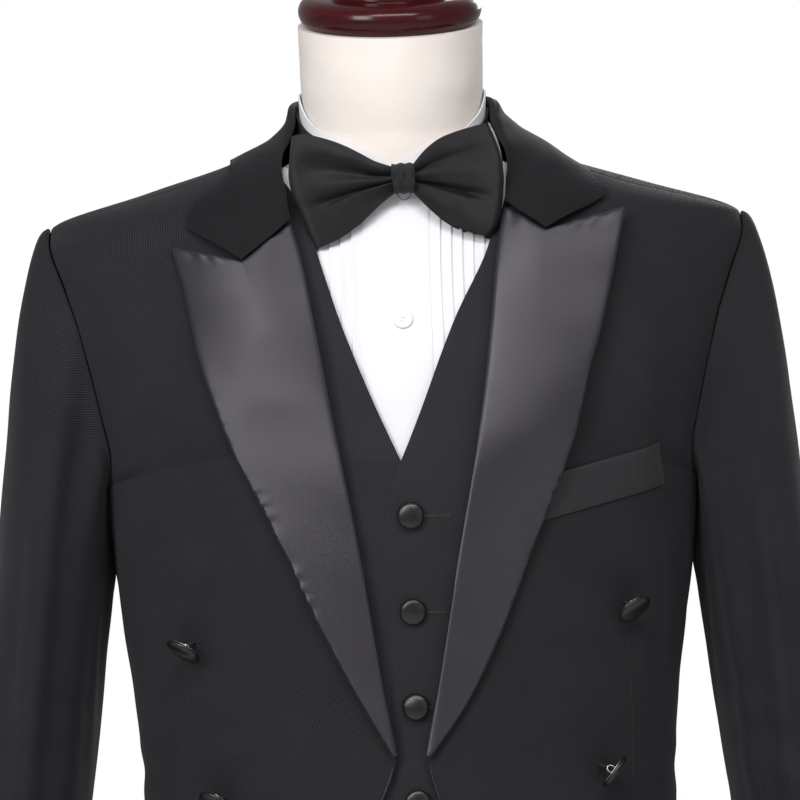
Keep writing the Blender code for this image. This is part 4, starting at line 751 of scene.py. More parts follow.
def wall(name, outer, inner, look, wrap=False, sharp=SHARP_ANGLE):
    """A closed wall of cloth between two grids. wrap closes each row into a ring."""
    rows, columns = outer.shape[:2]
    # The weave runs the same way on every piece, as seen from its outer face
    uv = uv_of(outer, wrap)
    turned = np.sum(grid_normals(outer, wrap) * (outer - inner)) * (uv[-1, 0, 1] - uv[0, 0, 1])
    uv[..., 0] *= np.sign(turned)
    row = np.arange(rows - 1)[:, None]
    column = np.arange(columns if wrap else columns - 1)[None, :]
    behind = rows * columns

    def corner(r, c, layer=0):
        r, c = np.broadcast_arrays(r, c)
        return (layer * behind + r * columns + c % columns).ravel(), uv[r, c].reshape(-1, 2)

    def quads(*places):
        corners = [corner(*place) for place in places]
        return (np.stack([c[0] for c in corners], axis=1), np.stack([c[1] for c in corners], axis=1))

    after, above = column + 1, row + 1
    low, high = np.array([[0]]), np.array([[rows - 1]])
    parts = [quads((row, column), (row, after), (above, after), (above, column)),
             quads((row, column, 1), (above, column, 1), (above, after, 1), (row, after, 1)),
             quads((low, column), (low, column, 1), (low, after, 1), (low, after)),
             quads((high, column), (high, after), (high, after, 1), (high, column, 1))]
    if not wrap:
        first, last = np.array([[0]]), np.array([[columns - 1]])
        parts.append(quads((row, first), (above, first), (above, first, 1), (row, first, 1)))
        parts.append(quads((row, last), (row, last, 1), (above, last, 1), (above, last)))
    faces = np.concatenate([p[0] for p in parts])
    corner_uv = np.concatenate([p[1] for p in parts])
    points = np.concatenate([outer.reshape(-1, 3), inner.reshape(-1, 3)])
    a, b, c, d = (points[faces[:, k]] for k in range(4))
    volume = (np.einsum("ij,ij->i", a, np.cross(b, c)) + np.einsum("ij,ij->i", a, np.cross(c, d))).sum()
    if volume < 0:
        faces, corner_uv = faces[:, ::-1], corner_uv[:, ::-1]
    return finish_mesh(name, points, faces.tolist(), corner_uv, look, sharp)


def ring_round(centre, axis, radius, segments):
    axis = unit(np.array(axis, float))
    helper = np.array([1.0, 0, 0]) if abs(axis[0]) < 0.8 else np.array([0, 0, 1.0])
    side = unit(np.cross(axis, helper))
    other = np.cross(axis, side)
    angles = 2 * math.pi * np.arange(segments) / segments
    return np.array(centre) + radius * (np.cos(angles)[:, None] * side + np.sin(angles)[:, None] * other)


def ring_faces(count, segments):
    """Faces of a closed stack of rings: point 0, the rings, then the last point."""
    faces = []
    for k in range(segments):
        n = (k + 1) % segments
        faces.append((0, 1 + n, 1 + k))
        for ring in range(count - 1):
            low, high = 1 + ring * segments, 1 + (ring + 1) * segments
            faces.append((low + k, low + n, high + n, high + k))
        top = 1 + (count - 1) * segments
        faces.append((top + k, top + n, 1 + count * segments))
    return faces


def ring_stack(name, rings, first, last, look, sharp=SHARP_ANGLE):
    """A closed solid through a stack of rings."""
    segments = len(rings[0])
    points = np.concatenate([[first], np.concatenate(rings), [last]])
    faces = ring_faces(len(rings), segments)
    volume = sum(np.dot(points[f[0]], np.cross(points[f[1]], points[f[2]]))
                 + (np.dot(points[f[0]], np.cross(points[f[2]], points[f[3]])) if len(f) > 3 else 0)
                 for f in faces)
    if volume < 0:
        faces = [tuple(reversed(f)) for f in faces]
    flat = [(points[i][0], points[i][2]) for f in faces for i in f]
    return finish_mesh(name, points, faces, flat, look, sharp)


def lathe(name, profile, look, centre, axis, segments=64):
    """A solid turned round an axis. profile is (radius, height), and its ends lie on the axis."""
    axis = unit(np.array(axis, float))
    centre = np.array(centre, float)
    rings = [ring_round(centre + axis * height, axis, radius, segments) for radius, height in profile[1:-1]]
    return ring_stack(name, rings, centre + axis * profile[0][1], centre + axis * profile[-1][1], look)


def tube(name, lines, radius, look, segments=6):
    """Round threads or cords along lines of points, joined into one mesh."""
    points, faces = [], []
    for line in lines:
        line = np.array(line, float)
        ways = np.gradient(line, axis=0)
        start = len(points)
        for place, way in zip(line, ways):
            points.extend(ring_round(place, way, radius, segments))
        for r in range(len(line) - 1):
            for k in range(segments):
                n = (k + 1) % segments
                low, high = start + r * segments, start + (r + 1) * segments
                faces.append((low + k, low + n, high + n, high + k))
        faces.append(tuple(start + k for k in range(segments))[::-1])
        end = start + (len(line) - 1) * segments
        faces.append(tuple(end + k for k in range(segments)))
    points = np.array(points)
    flat = [(points[i][0], points[i][2]) for f in faces for i in f]
    return finish_mesh(name, points, faces, flat, look, 60)


def stand_for(made, node_name):
    """The piece replaces its solid and rides on the one body."""
    made.name = f"{node_name}_fine"
    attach(made, "root")
    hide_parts(node_name)


def trim(made, parent):
    """A small detail that goes with a piece."""
    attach(made, "root")
    EXTRAS.setdefault(parent, []).append(made)


# How far in from its edges a panel's rounding reaches
EDGE_FALL_REACH = 0.0011


def panel(name, body, grid, lift, thickness, look, relief, fall):
    """A cloth panel on a body's surface, with its creases. fall rounds its edges off."""
    turn, height = grid[..., 0], grid[..., 1]
    base = body.point(turn, height)
    out = body.normal(turn, height)
    inner = base + out * (lift + relief(base))[..., None]
    thick = thickness - fall * np.exp(-border(base) / EDGE_FALL_REACH)
    outer = inner + out * thick[..., None]
    stand_for(wall(name, outer, inner, look), name)
    return outer


def border(points):
    """Each grid point's distance to the nearest edge of its grid."""
    across = np.linalg.norm(np.diff(points, axis=1), axis=-1)
    from_left = np.concatenate([np.zeros((len(points), 1)), np.cumsum(across, axis=1)], axis=1)
    along = np.linalg.norm(np.diff(points, axis=0), axis=-1)
    from_low = np.concatenate([np.zeros((1, points.shape[1])), np.cumsum(along, axis=0)], axis=0)
    return np.minimum.reduce([from_left, from_left[:, -1:] - from_left, from_low, from_low[-1:] - from_low])


# Coat

PIPING_RADIUS = 0.00060
DART_RADIUS = 0.00026


def coat_panel(name, grid, fall=0.0005):
    return panel(name, COAT, grid, -COAT_WALL, COAT_WALL, "wool", coat_relief, fall)


def armhole(angle):
    """The armhole's turn and height at an angle round it, from its top to the front."""
    angle = np.asarray(angle, float)
    degrees = np.degrees(np.minimum(angle, 2 * math.pi - angle))
    places, fronts, backs = zip(*ARMHOLE_TURNS)
    forward = smooth_curve(places, fronts)(degrees)
    behind = smooth_curve(places, backs)(degrees)
    behind = np.where(degrees < 1e-6, -1.0, behind - 2 * ease(30, 0, degrees))
    turn = np.where(angle <= math.pi, -forward, behind)
    return np.stack([np.radians(turn), ARMHOLE_MIDDLE + ARMHOLE_HALF * np.cos(angle)], axis=-1)


FRONT_ARM_STEPS = 60
SIDE_ARM_STEPS = 24
BACK_ARM_STEPS = 40
FRONT_ANGLES = np.radians(np.linspace(180, 0, FRONT_ARM_STEPS + 1))
SIDE_ANGLES = np.radians(np.linspace(180, SIDE_ARMHOLE_ANGLE, SIDE_ARM_STEPS + 1))
BACK_ANGLES = np.radians(np.linspace(SIDE_ARMHOLE_ANGLE, 360, BACK_ARM_STEPS + 1))
BELOW_ARM_STEPS = 70
TAIL_STEPS = 130
HALF_SEAM_TURN = 0.5 * SEAM_GAP / TURN_REACH


def side_seam():
    rows = [(math.radians(10), WAIST_SEAM), (math.radians(5), 1.180), tuple(armhole(math.pi))]
    return soft(rows, BELOW_ARM_STEPS)


def back_seam():
    rows = [(70, WAIST_SEAM), (66, 1.120), (58, 1.190), (46, 1.260), (33, 1.310)]
    points = [(math.radians(turn), z) for turn, z in rows]
    points.append(tuple(armhole(math.radians(SIDE_ARMHOLE_ANGLE))))
    return soft(points, BELOW_ARM_STEPS)


def pleat_line():
    return soft(radians([(71, TAIL_HEM), (70, 0.70), (69, 0.90), (70, WAIST_SEAM)]), TAIL_STEPS)


def front_edge(side):
    """The coat's front edge: from the hem up along the lapel's fold and round the neck to the shoulder."""
    roll = np.array(LAPEL_ROLL[side])
    lower = np.array([(0.0350, COAT_FRONT_HEM), (0.0270, 1.0700), (0.0185, 1.1000)])
    across = np.concatenate([lower, roll + np.array([0.0012, 0.0])])
    straight = smooth(COAT.curve(across))
    seam = radians(NECK_SEAM[side])
    seam = smooth(seam[seam[:, 0] < math.radians(-14)][::-1])
    return divide(np.concatenate([straight, seam]), BELOW_ARM_STEPS + FRONT_ARM_STEPS)


# The dart from each upper button down to the waist: across, height
DARTS = {
    "left": ((0.1332, 1.2046), (0.1353, 1.1709), (0.1357, 1.1373), (0.1345, 1.0900)),
    "right": ((-0.1308, 1.1875), (-0.1350, 1.1500), (-0.1406, 1.1109), (-0.1430, 1.0850)),
}


def coat_front(side, sign):
    seam, hole = side_seam(), armhole(FRONT_ANGLES)
    right = shifted(join(seam, hole), -HALF_SEAM_TURN)
    left = front_edge(side)
    left[-1, 0] -= HALF_SEAM_TURN
    columns = 96
    hem = [tuple(left[0]), (math.radians(-60), 1.048), (math.radians(-35), 1.058),
           (math.radians(-12), WAIST_SEAM + 0.0002), tuple(right[0])]
    bottom = soft(hem, columns)
    top = shifted(soft(radians(SHOULDER_SEAM), columns), -HALF_SEAM_TURN)
    right[-1] = top[-1]
    name = f"coat_front_{side}"
    outer = coat_panel(name, sided(fill_patch(bottom, top, left, right, 2.0), sign), 0.0003)
    dart = []
    for x, z in divide(smooth(DARTS[side], 1.0), 40, 1.0):
        spot, out = seat_on(outer, x, z)
        dart.append(spot + out * 0.00005)
    edge = outer[:22, 0] - (outer[:22, 0] - outer[:22, 1]) * 0.5
    trim(tube(f"{name}_dart", [dart], DART_RADIUS, "thread", 5), name)
    trim(tube(f"{name}_piping", [edge], PIPING_RADIUS, "satin", 7), name)
    return outer


def coat_side(side, sign):
    left = shifted(side_seam(), HALF_SEAM_TURN)
    right = shifted(back_seam(), -HALF_SEAM_TURN)
    top = shifted(armhole(SIDE_ANGLES), 0, -0.0003)
    top[0], top[-1] = left[-1], right[-1]
    bottom = divide([tuple(left[0]), tuple(right[0])], SIDE_ARM_STEPS)
    coat_panel(f"coat_side_{side}", sided(fill_patch(bottom, top, left, right), sign))


def coat_back(side, sign):
    hole = armhole(BACK_ANGLES)
    left = shifted(join(pleat_line(), back_seam(), hole), HALF_SEAM_TURN)
    shoulder = shifted(soft(radians(SHOULDER_SEAM), 30)[::-1], HALF_SEAM_TURN)
    left[-1] = shoulder[0]
    heights = left[:, 1].copy()
    hole_foot = hole[0][1]
    above = heights > hole_foot
    neck_back = NECK_SEAM[side][0][1]
    share = (heights[above] - hole_foot) / (heights[-1] - hole_foot)
    heights[above] = hole_foot + share * (neck_back - hole_foot)
    vent = 0.0003 + 0.006 * ease(WAIST_SEAM - 0.03, TAIL_HEM, heights)
    right = np.stack([COAT.turn_at(vent, heights, behind=True), heights], axis=-1)
    seam = smooth(radians(NECK_SEAM[side]))[::-1]
    behind = divide(seam[seam[:, 0] > shoulder[-1][0] + 0.02], 22)
    top = np.concatenate([shoulder, behind[:-1], right[-1:]])
    hem = divide([tuple(left[0]), tuple(right[0])], len(top) - 1)
    coat_panel(f"coat_back_{side}", sided(fill_patch(hem, top, left, right, 4.0), sign))


def coat_skirt(side, sign):
    right = shifted(pleat_line(), -HALF_SEAM_TURN)
    edge = [(50, TAIL_HEM), (44, 0.62), (34, 0.78), (18, 0.92), (3, 1.02), (-11, WAIST_SEAM - 0.0009)]
    left = soft(radians(edge), TAIL_STEPS)
    right[-1][1] = WAIST_SEAM - 0.0009
    columns = 44
    bottom = divide([tuple(left[0]), tuple(right[0])], columns)
    top = divide([tuple(left[-1]), tuple(right[-1])], columns)
    coat_panel(f"coat_skirt_{side}", sided(fill_patch(bottom, top, left, right), sign))


def cross_creases(degrees, heights, rows, slope):
    """Creases across a sleeve or leg, each higher by the slope for each degree round it."""
    total = np.zeros(heights.shape)
    for height, angle, reach, width, depth in rows:
        off = off_angle(degrees, angle)
        total += depth * bell((heights - height - slope * off) / width) * bell(off / reach)
    return total


# Creases of a sleeve: angle round it at the top and bottom, heights, half width in degrees, depth
SLEEVE_CREASES = {
    "left": ((78, 96, 1.385, 1.120, 11, 0.0022), (104, 118, 1.360, 1.050, 12, -0.0024),
             (128, 132, 1.330, 1.080, 9, 0.0016), (60, 66, 1.300, 1.040, 12, -0.0013),
             (160, 178, 1.270, 1.160, 9, -0.0022), (205, 222, 1.330, 1.100, 14, -0.0020),
             (250, 256, 1.390, 1.150, 14, 0.0018), (285, 292, 1.360, 1.060, 16, -0.0018),
             (20, 26, 1.370, 1.160, 16, -0.0010)),
    "right": ((82, 92, 1.380, 1.090, 12, 0.0020), (108, 112, 1.350, 1.060, 10, -0.0020),
              (132, 138, 1.320, 1.110, 9, 0.0017), (56, 70, 1.310, 1.060, 12, -0.0014),
              (164, 176, 1.265, 1.150, 9, -0.0024), (210, 218, 1.325, 1.090, 14, -0.0019),
              (246, 258, 1.385, 1.140, 14, 0.0017), (282, 296, 1.365, 1.070, 16, -0.0017),
              (24, 20, 1.360, 1.150, 16, -0.0010)),
}
# Creases across a sleeve at the elbow's bend: height, angle, reach in degrees, half height, depth
ELBOW_CREASES = ((1.135, 110, 42, 0.0075, -0.0021), (1.112, 95, 52, 0.0085, 0.0016),
                 (1.088, 118, 46, 0.0070, -0.0024), (1.052, 100, 40, 0.0085, -0.0017),
                 (1.165, 130, 34, 0.0070, -0.0014), (1.010, 112, 38, 0.0080, -0.0012),
                 (1.070, 265, 40, 0.0110, -0.0010))
ELBOW_SLOPE = {"left": 0.00010, "right": -0.00006}


def sleeve_relief(angles, heights, side):
    total = 0.00030 * ripple(angles * 0.05, heights, 0.05, 11 if side == "left" else 12)
    degrees = np.degrees(angles) % 360
    for top_angle, low_angle, top, low, width, depth in SLEEVE_CREASES[side]:
        share = np.clip((top - heights) / (top - low), 0, 1)
        middle = top_angle + (low_angle - top_angle) * share
        off = off_angle(degrees, middle)
        far = abs(off) / width
        swell = bell(far) - 0.3 * bell((far - 1.7) / 0.7)
        total += depth * swell * ease(top + 0.02, top - 0.05, heights) * ease(low - 0.05, low + 0.05, heights)
    inward = off_angle(degrees, 180)
    total += 0.0020 * bell(inward / 38) * ease(1.222, 1.250, heights) * ease(1.315, 1.285, heights)
    return total + cross_creases(degrees, heights, ELBOW_CREASES, ELBOW_SLOPE[side])


# Shares of the way down a sleeve's cap at which it has a ring, closer together at its seam
CAP_PLACES = np.concatenate([[0.0, 0.008, 0.02, 0.035], np.linspace(0.05, 1, 55, endpoint=False)])
SLEEVE_ROWS = 110


def coat_sleeve(side, sign):
    """A sleeve from the armhole to an open cuff, its cap curving out over the shoulder."""
    name = f"coat_sleeve_{side}"
    angles = np.concatenate([FRONT_ANGLES[::-1], SIDE_ANGLES[1:], BACK_ANGLES[1:-1]])
    hole = armhole(angles)
    start = COAT.lifted(hole[:, 0], hole[:, 1], 0.0004 + COAT_WALL)
    sections = np.array(SLEEVE_SECTIONS)
    height, across, depth, half, deep = (sections[:, i] for i in range(5))
    axis_tilt = math.atan2(across[1] - across[0], height[0] - height[1])
    down_places = height[0] - height
    columns = [smooth_curve(down_places, column) for column in (across, depth, half, deep)]

    def ring(down):
        middle, back, wide, thick = (column(down) for column in columns)
        side_reach = wide * np.cos(angles)
        return np.stack([middle + side_reach * math.cos(axis_tilt), back - thick * np.sin(angles),
                         height[0] - down + side_reach * math.sin(axis_tilt)], axis=-1)

    first = ring(0.0)
    outward = np.array([1.0, 0, 0])
    forward = np.array([0, -1.0, 0])
    down_way = np.array([math.sin(axis_tilt), 0, -math.cos(axis_tilt)])
    top_share = 0.5 + 0.5 * np.cos(angles)[:, None]
    leave = outward * (0.20 + 0.70 * top_share) + down_way * (1.30 - 0.80 * top_share)
    leave = leave + forward * np.sin(angles)[:, None] * 0.30
    leave = leave / np.linalg.norm(leave, axis=1, keepdims=True)
    span = np.linalg.norm(first - start, axis=1, keepdims=True)
    rings = []
    pull = leave * span * (0.75 - 0.42 * top_share)
    for t in CAP_PLACES:
        begin = (1 + 2 * t) * (1 - t) ** 2 * start + t * (1 - t) ** 2 * pull
        end = t * t * (3 - 2 * t) * first + t * t * (t - 1) * down_way * span
        rings.append(begin + end)
    rings += [ring(down) for down in np.linspace(0, down_places[-1], SLEEVE_ROWS)]
    outer = np.array(rings)
    normals = grid_normals(outer, wrap=True)
    middle = outer.mean(axis=1, keepdims=True)
    normals = normals * np.sign(np.sum(normals * (outer - middle), axis=-1, keepdims=True))
    normals[0] = COAT.normal(hole[:, 0], hole[:, 1])
    blend = np.linspace(1, 0, 6)[:, None, None]
    normals[:6] = normals[:6] * (1 - blend) + normals[0] * blend
    normals /= np.linalg.norm(normals, axis=-1, keepdims=True)
    turned = np.broadcast_to(angles, outer.shape[:2])
    ring_places = np.arange(len(outer))[:, None]
    fade = ease(0, 14, ring_places) * ease(len(outer) + 6, len(outer) - 20, ring_places)
    # The sleeve head is eased in: it stands up beside the seam in small uneven dimples
    from_top = np.degrees(np.minimum(turned, 2 * math.pi - turned))
    head = bell((ring_places - 5) / 4.0) * ease(75, 20, from_top)
    dimples = head * (0.0006 + 0.00035 * np.sin(turned * 26) * ripple(turned, outer[..., 2], 0.9, 8))
    outer = outer + normals * (sleeve_relief(turned, outer[..., 2], side) * fade + dimples)[..., None]
    inner = outer - normals * COAT_WALL
    if sign < 0:
        outer, inner = mirror_points(outer), mirror_points(inner)
    stand_for(wall(name, outer, inner, "wool", wrap=True), name)


# Lapels: soft waves of the satin: share of the way up, share across, half sizes of both, and height
LAPEL_WAVES = {
    "left": ((0.92, 0.50, 0.08, 0.80, 0.0008), (0.60, 0.55, 0.13, 2.40, 0.0044),
             (0.26, 0.45, 0.12, 1.60, 0.0008)),
    "right": ((0.77, 0.60, 0.11, 2.40, 0.0034), (0.30, 0.60, 0.14, 1.60, 0.0008)),
}
# How far the upper part of each lapel swells in its middle and stands off at its outer edge, and between
# which shares of its height that begins
LAPEL_FULL = {"left": (0.0004, 0.0054, 0.38, 0.62), "right": (0.0032, 0.0, 0.50, 0.84)}


def lapel_grid(side, rows=180, columns=62):
    """A lapel's places across and up, between its fold, its outer edge, its top and its lower end."""
    left = divide(smooth(LAPEL_ROLL[side], 1.0), rows, 1.0)
    right = divide(smooth(LAPEL_EDGE[side], 1.0), rows, 1.0)
    gorge_top, peak, notch = left[-1], right[-1], np.array(NOTCH[side])
    knee = int(round(columns * 0.4))
    top = join(divide([gorge_top, notch], knee, 1.0), divide([notch, peak], columns - knee, 1.0))
    bottom = divide([left[0], right[0]], columns, 1.0)
    top[:-1, 1] -= 0.0008
    left[-1] = top[0]
    return fill_patch(bottom, top, left, right, 7.0)


# A lapel's height off the coat at its fold, and how much more it springs up towards its outer edge
LAPEL_LIFT = 0.0006
LAPEL_SPRING = 0.0022


def lapel_lift(side, rise, share):
    """A lapel's height off the coat, by share of the way up and across."""
    full, stand, low, high = LAPEL_FULL[side]
    swell = full * np.sin(np.pi * share) + stand * share
    lift = LAPEL_LIFT + LAPEL_SPRING * share ** 0.5 + swell * ease(low, high, rise)
    for up, across, tall, wide, height in LAPEL_WAVES[side]:
        lift = lift + height * bell((rise - up) / tall) * bell((share - across) / wide)
    return lift


def coat_lapel(side, sign):
    grid = lapel_grid(side)
    rows, columns = grid.shape[:2]
    turn = COAT.turn_at(grid[..., 0], grid[..., 1])
    share = np.linspace(0, 1, columns)[None, :]
    rise = np.linspace(0, 1, rows)[:, None]
    lift = lapel_lift(side, rise, share)
    # Small puckers along the sewn outer edge, a dip at the notch and waves along the top
    pucker = np.exp(-(share - 1) ** 2 / 0.010) * bell((rise - 0.45) / 0.22)
    lift = lift + 0.00050 * pucker * np.sin(rise * 150 + 3 * np.sin(rise * 37))
    near_notch = bell((share - 0.42) / 0.10) * bell((1 - rise) / 0.07)
    lift = lift - 0.0010 * near_notch
    top_edge = bell((1 - rise) / 0.02)
    lift = lift + 0.0004 * top_edge * np.sin(share * 34 + 2 * np.sin(share * 9))
    if sign < 0:
        turn = math.pi - turn
    placed = np.stack([turn, grid[..., 1]], axis=-1)
    name = f"coat_lapel_{side}"
    outer = panel(name, COAT, placed, lift, SATIN_WALL, "satin", coat_relief, 0.0006)
    # The cord along the sewn outer edge takes the darker bow satin, a painted shade along the lapel's edge
    edge = 0.5 * (outer[::4, -1] + outer[::4, -2])
    trim(tube(f"{name}_piping", [edge], PIPING_RADIUS, "bow_satin", 7), name)


COLLAR_WALL = 0.0014
COLLAR_COLUMNS = 88
COLLAR_LEAF_STEPS = 34
COLLAR_NOTCH_STEP = 17
COLLAR_BEND_STEPS = 9
# How far from the fold line the cloth starts to bend
COLLAR_BEND_REACH = 0.0022


# The neck's distance from its axis, in metres, for lengths round it
NECK_REACH = 0.08


def moved_towards(start, target, distance):
    """Points moved from start towards target, and never more than 0.45 of the way."""
    way = target - start
    long = np.linalg.norm(way * np.array([NECK_REACH, 1.0]), axis=1, keepdims=True)
    return start + way * np.minimum(distance / np.maximum(long, 1e-9), 0.45)


def even_columns(curve, places, wanted):
    """A curve's rows, given at coarse column places, at finer ones."""
    return np.stack([smooth_curve(places, column)(wanted) for column in np.array(curve).T], axis=-1)


def collar_half(side):
    """Mid lines of half the collar: rows up the stand, over the fold and down the leaf."""
    coarse = radians(COLLAR_FOLD[side])
    places = np.arange(len(coarse))
    wanted = np.linspace(0, len(coarse) - 1, COLLAR_COLUMNS)
    fold = even_columns(coarse, places, wanted)
    seam = even_columns(radians(NECK_SEAM[side]) + np.array([0.0, 0.0011]), places, wanted)
    notch, tip = (COAT.curve([row])[0] for row in (NOTCH[side], COLLAR_TIP[side]))
    edge = [(math.radians(turn), z) for turn, z in COLLAR_EDGE[side]]
    rest = divide([edge[-1], tuple(tip)], len(coarse) - len(edge))
    edge = even_columns(np.concatenate([edge, rest[1:]]), places, wanted)
    steps, knee = COLLAR_LEAF_STEPS, COLLAR_NOTCH_STEP
    end = join(divide([fold[-1], notch], knee), divide([notch, tip], steps - knee)) + np.array([0.0, 0.0006])
    start = divide([fold[0], edge[0]], steps)
    leaf = fill_patch(start, end, fold, edge, 2.5).transpose(1, 0, 2)
    front = ease(6, len(coarse) - 1, wanted)
    share = np.linspace(0, 1, steps + 1)[:, None]
    leaf_lift = 0.0024 + 0.0012 * front + (0.0006 + 0.0022 * front) * np.sin(math.pi * share) - 0.0006 * share
    beside = bell((wanted - 6.5) / 2.6)
    leaf_lift = leaf_lift + COLLAR_PUFF[side] * beside * np.sin(math.pi * share ** 0.8)
    under = -0.5 * COAT_WALL
    rows, lifts = [], []
    near_fold = moved_towards(fold, seam, COLLAR_BEND_REACH)
    for t in np.linspace(0, 1, COLLAR_BEND_STEPS):
        rows.append(seam + t * (near_fold - seam))
        lifts.append(np.full(len(fold), under))
    past_fold = moved_towards(fold, leaf[2], COLLAR_BEND_REACH)
    for t in np.linspace(0, 1, COLLAR_BEND_STEPS)[1:]:
        bend = (1 - t) ** 2 * near_fold + 2 * t * (1 - t) * (fold + np.array([0, 0.0014])) + t * t * past_fold
        rows.append(bend)
        lifts.append(under + (leaf_lift[0] - under) * ease(0, 1, t))
    for k in range(2, steps + 1):
        near = ease(1, 5, k)
        rows.append(past_fold * (1 - near) + leaf[k] * near if k < 5 else leaf[k])
        lifts.append(leaf_lift[k])
    return np.array(rows), np.array(lifts)


def coat_collar():
    halves = []
    for side, sign in SIDES:
        grid, lifts = collar_half(side)
        grid = sided(grid, sign)
        halves.append(COAT.lifted(grid[..., 0], grid[..., 1], lifts))
    left, right = halves
    points = np.concatenate([right[:, :0:-1], 0.5 * (left[:, :1] + right[:, :1]), left[:, 1:]], axis=1)
    normals = grid_normals(points)
    half = 0.5 * COLLAR_WALL
    made = wall("coat_collar", points + normals * half, points - normals * half, "wool_collar")
    stand_for(made, "coat_collar")


def breast_pocket():
    corners = np.array(WELT_CORNERS)
    columns, rows = 60, 20
    bottom = divide([corners[0], corners[1]], columns, 1.0)
    top = divide([corners[3], corners[2]], columns, 1.0)
    left = divide([corners[0], corners[3]], rows, 1.0)
    right = divide([corners[1], corners[2]], rows, 1.0)
    grid = fill_patch(bottom, top, left, right)
    turn = COAT.turn_at(grid[..., 0], grid[..., 1])
    placed = np.stack([turn, grid[..., 1]], axis=-1)
    panel("coat_breast_welt", COAT, placed, 0.0006, 0.0011, "grosgrain", coat_relief, 0.0006)


def button_profile(radius):
    """A cloth-covered button from the plate at its back, round the rim and up the dome."""
    shares = ((0.55, -0.0014), (0.80, -0.0012), (0.93, -0.0007), (1.0, 0.0001), (0.995, 0.0009),
              (0.96, 0.0015), (0.88, 0.0021), (0.75, 0.0026), (0.58, 0.0030), (0.40, 0.0033), (0.20, 0.0035))
    return [(share * radius, height) for share, height in shares]


BUTTON_BACK = 0.0014
BUTTON_DOME = 0.0036
COVER_PLEATS = 14


def covered_button(name, centre, axis, radius, segments=48):
    """The covered disc, its cloth drawn over the rim in small pleats."""
    centre, axis = np.array(centre, float), np.array(axis, float)
    rings = []
    for k, (reach, height) in enumerate(button_profile(radius)):
        ring = ring_round(centre + axis * height, axis, reach, segments)
        angles = 2 * math.pi * np.arange(segments) / segments
        pleats = np.sin(angles * COVER_PLEATS + np.sin(angles * 3))
        gather = 0.00009 * math.exp(-((k - 2.0) / 1.8) ** 2) * pleats
        way = ring - (centre + axis * height)
        way /= np.linalg.norm(way, axis=1, keepdims=True)
        rings.append(ring + way * gather[:, None])
    return ring_stack(name, rings, centre - axis * BUTTON_BACK, centre + axis * BUTTON_DOME, "button_satin",
                      60)


def seat_on(grid, across, height):
    """The nearest point and normal of a front panel's outer face at this place across and up."""
    far = (grid[..., 0] - across) ** 2 + (grid[..., 2] - height) ** 2
    r, c = np.unravel_index(np.argmin(far), far.shape)
    out = grid_normals(grid[max(r - 2, 0):r + 3, max(c - 2, 0):c + 3])[1, 1]
    out = out if out[1] < 0 else -out
    spot = grid[r, c].copy()
    shift = np.array([across - spot[0], 0, height - spot[2]])
    shift[1] = -(shift[0] * out[0] + shift[2] * out[2]) / out[1]
    return spot + shift, out


# The wire shank's loop behind a coat button: depth behind its centre, place across
SHANK_BEND = ((0.0012, 0.0020), (0.0030, 0.0019), (0.0042, 0.0010), (0.0045, 0.0), (0.0042, -0.0010),
              (0.0030, -0.0019), (0.0012, -0.0020))
THREAD_COUNT = 5
THREAD_PITCH = 0.0004


def coat_buttons(fronts):
    """The coat's covered buttons, each hanging from its thread by a wire shank, tipped as it hangs."""
    counts = {"left": 0, "right": 0}
    for side, across, height, tilt, way in COAT_BUTTONS:
        counts[side] += 1
        name = f"coat_button_{side}_{counts[side]}"
        sign = dict(SIDES)[side]
        angle, way = math.radians(tilt), math.radians(way)
        hang = np.array([math.sin(way), 0, -math.cos(way)])
        slack = COAT_SHANK * math.sin(angle)
        seat, out = seat_on(fronts[side], sign * across - hang[0] * slack, height - hang[2] * slack)
        hang = unit(hang - out * np.dot(hang, out))
        axis = out * math.cos(angle) + hang * math.sin(angle)
        rise = COAT_BUTTON_RADIUS * math.sin(angle) + 0.0018 * math.cos(angle) + 0.0006
        root = seat + out * max(rise - COAT_SHANK * math.cos(angle), 0.0012)
        centre = root + axis * COAT_SHANK
        made = covered_button(name, centre, axis, COAT_BUTTON_RADIUS)
        stand_for(made, name)
        # A pale steel ring where the shell closes on the back plate, a painted highlight for the light caught
        # by the cloth's folded edge, the wire shank, and its thread
        rim = ring_round(centre - axis * 0.0008, axis, 0.90 * COAT_BUTTON_RADIUS, 40)
        trim(tube(f"{name}_rim", [np.concatenate([rim, rim[:1]])], 0.00028, "shank", 6), name)
        side_way = unit(np.cross(axis, hang))
        bend = [centre - axis * deep + side_way * wide for deep, wide in SHANK_BEND]
        trim(tube(f"{name}_shank", [soft(bend, 18, 1.0)], 0.00055, "shank", 8), name)
        threads = []
        for k in range(THREAD_COUNT):
            swing = side_way * (k - 2) * THREAD_PITCH
            line = [seat - out * 0.0008 + swing, seat + out * 0.0012 + swing,
                    root + swing * 0.6 + axis * 0.0006]
            threads.append(soft(line, 8, 1.0))
        trim(tube(f"{name}_thread", threads, 0.00022, "thread", 5), name)


# Waistcoat

def vest_lift(heights):
    """The waistcoat's height off the form, more at the waist, where it goes over the trousers."""
    return VEST_LIFT + (VEST_WAIST_LIFT - VEST_LIFT) * ease(1.22, 1.12, heights)


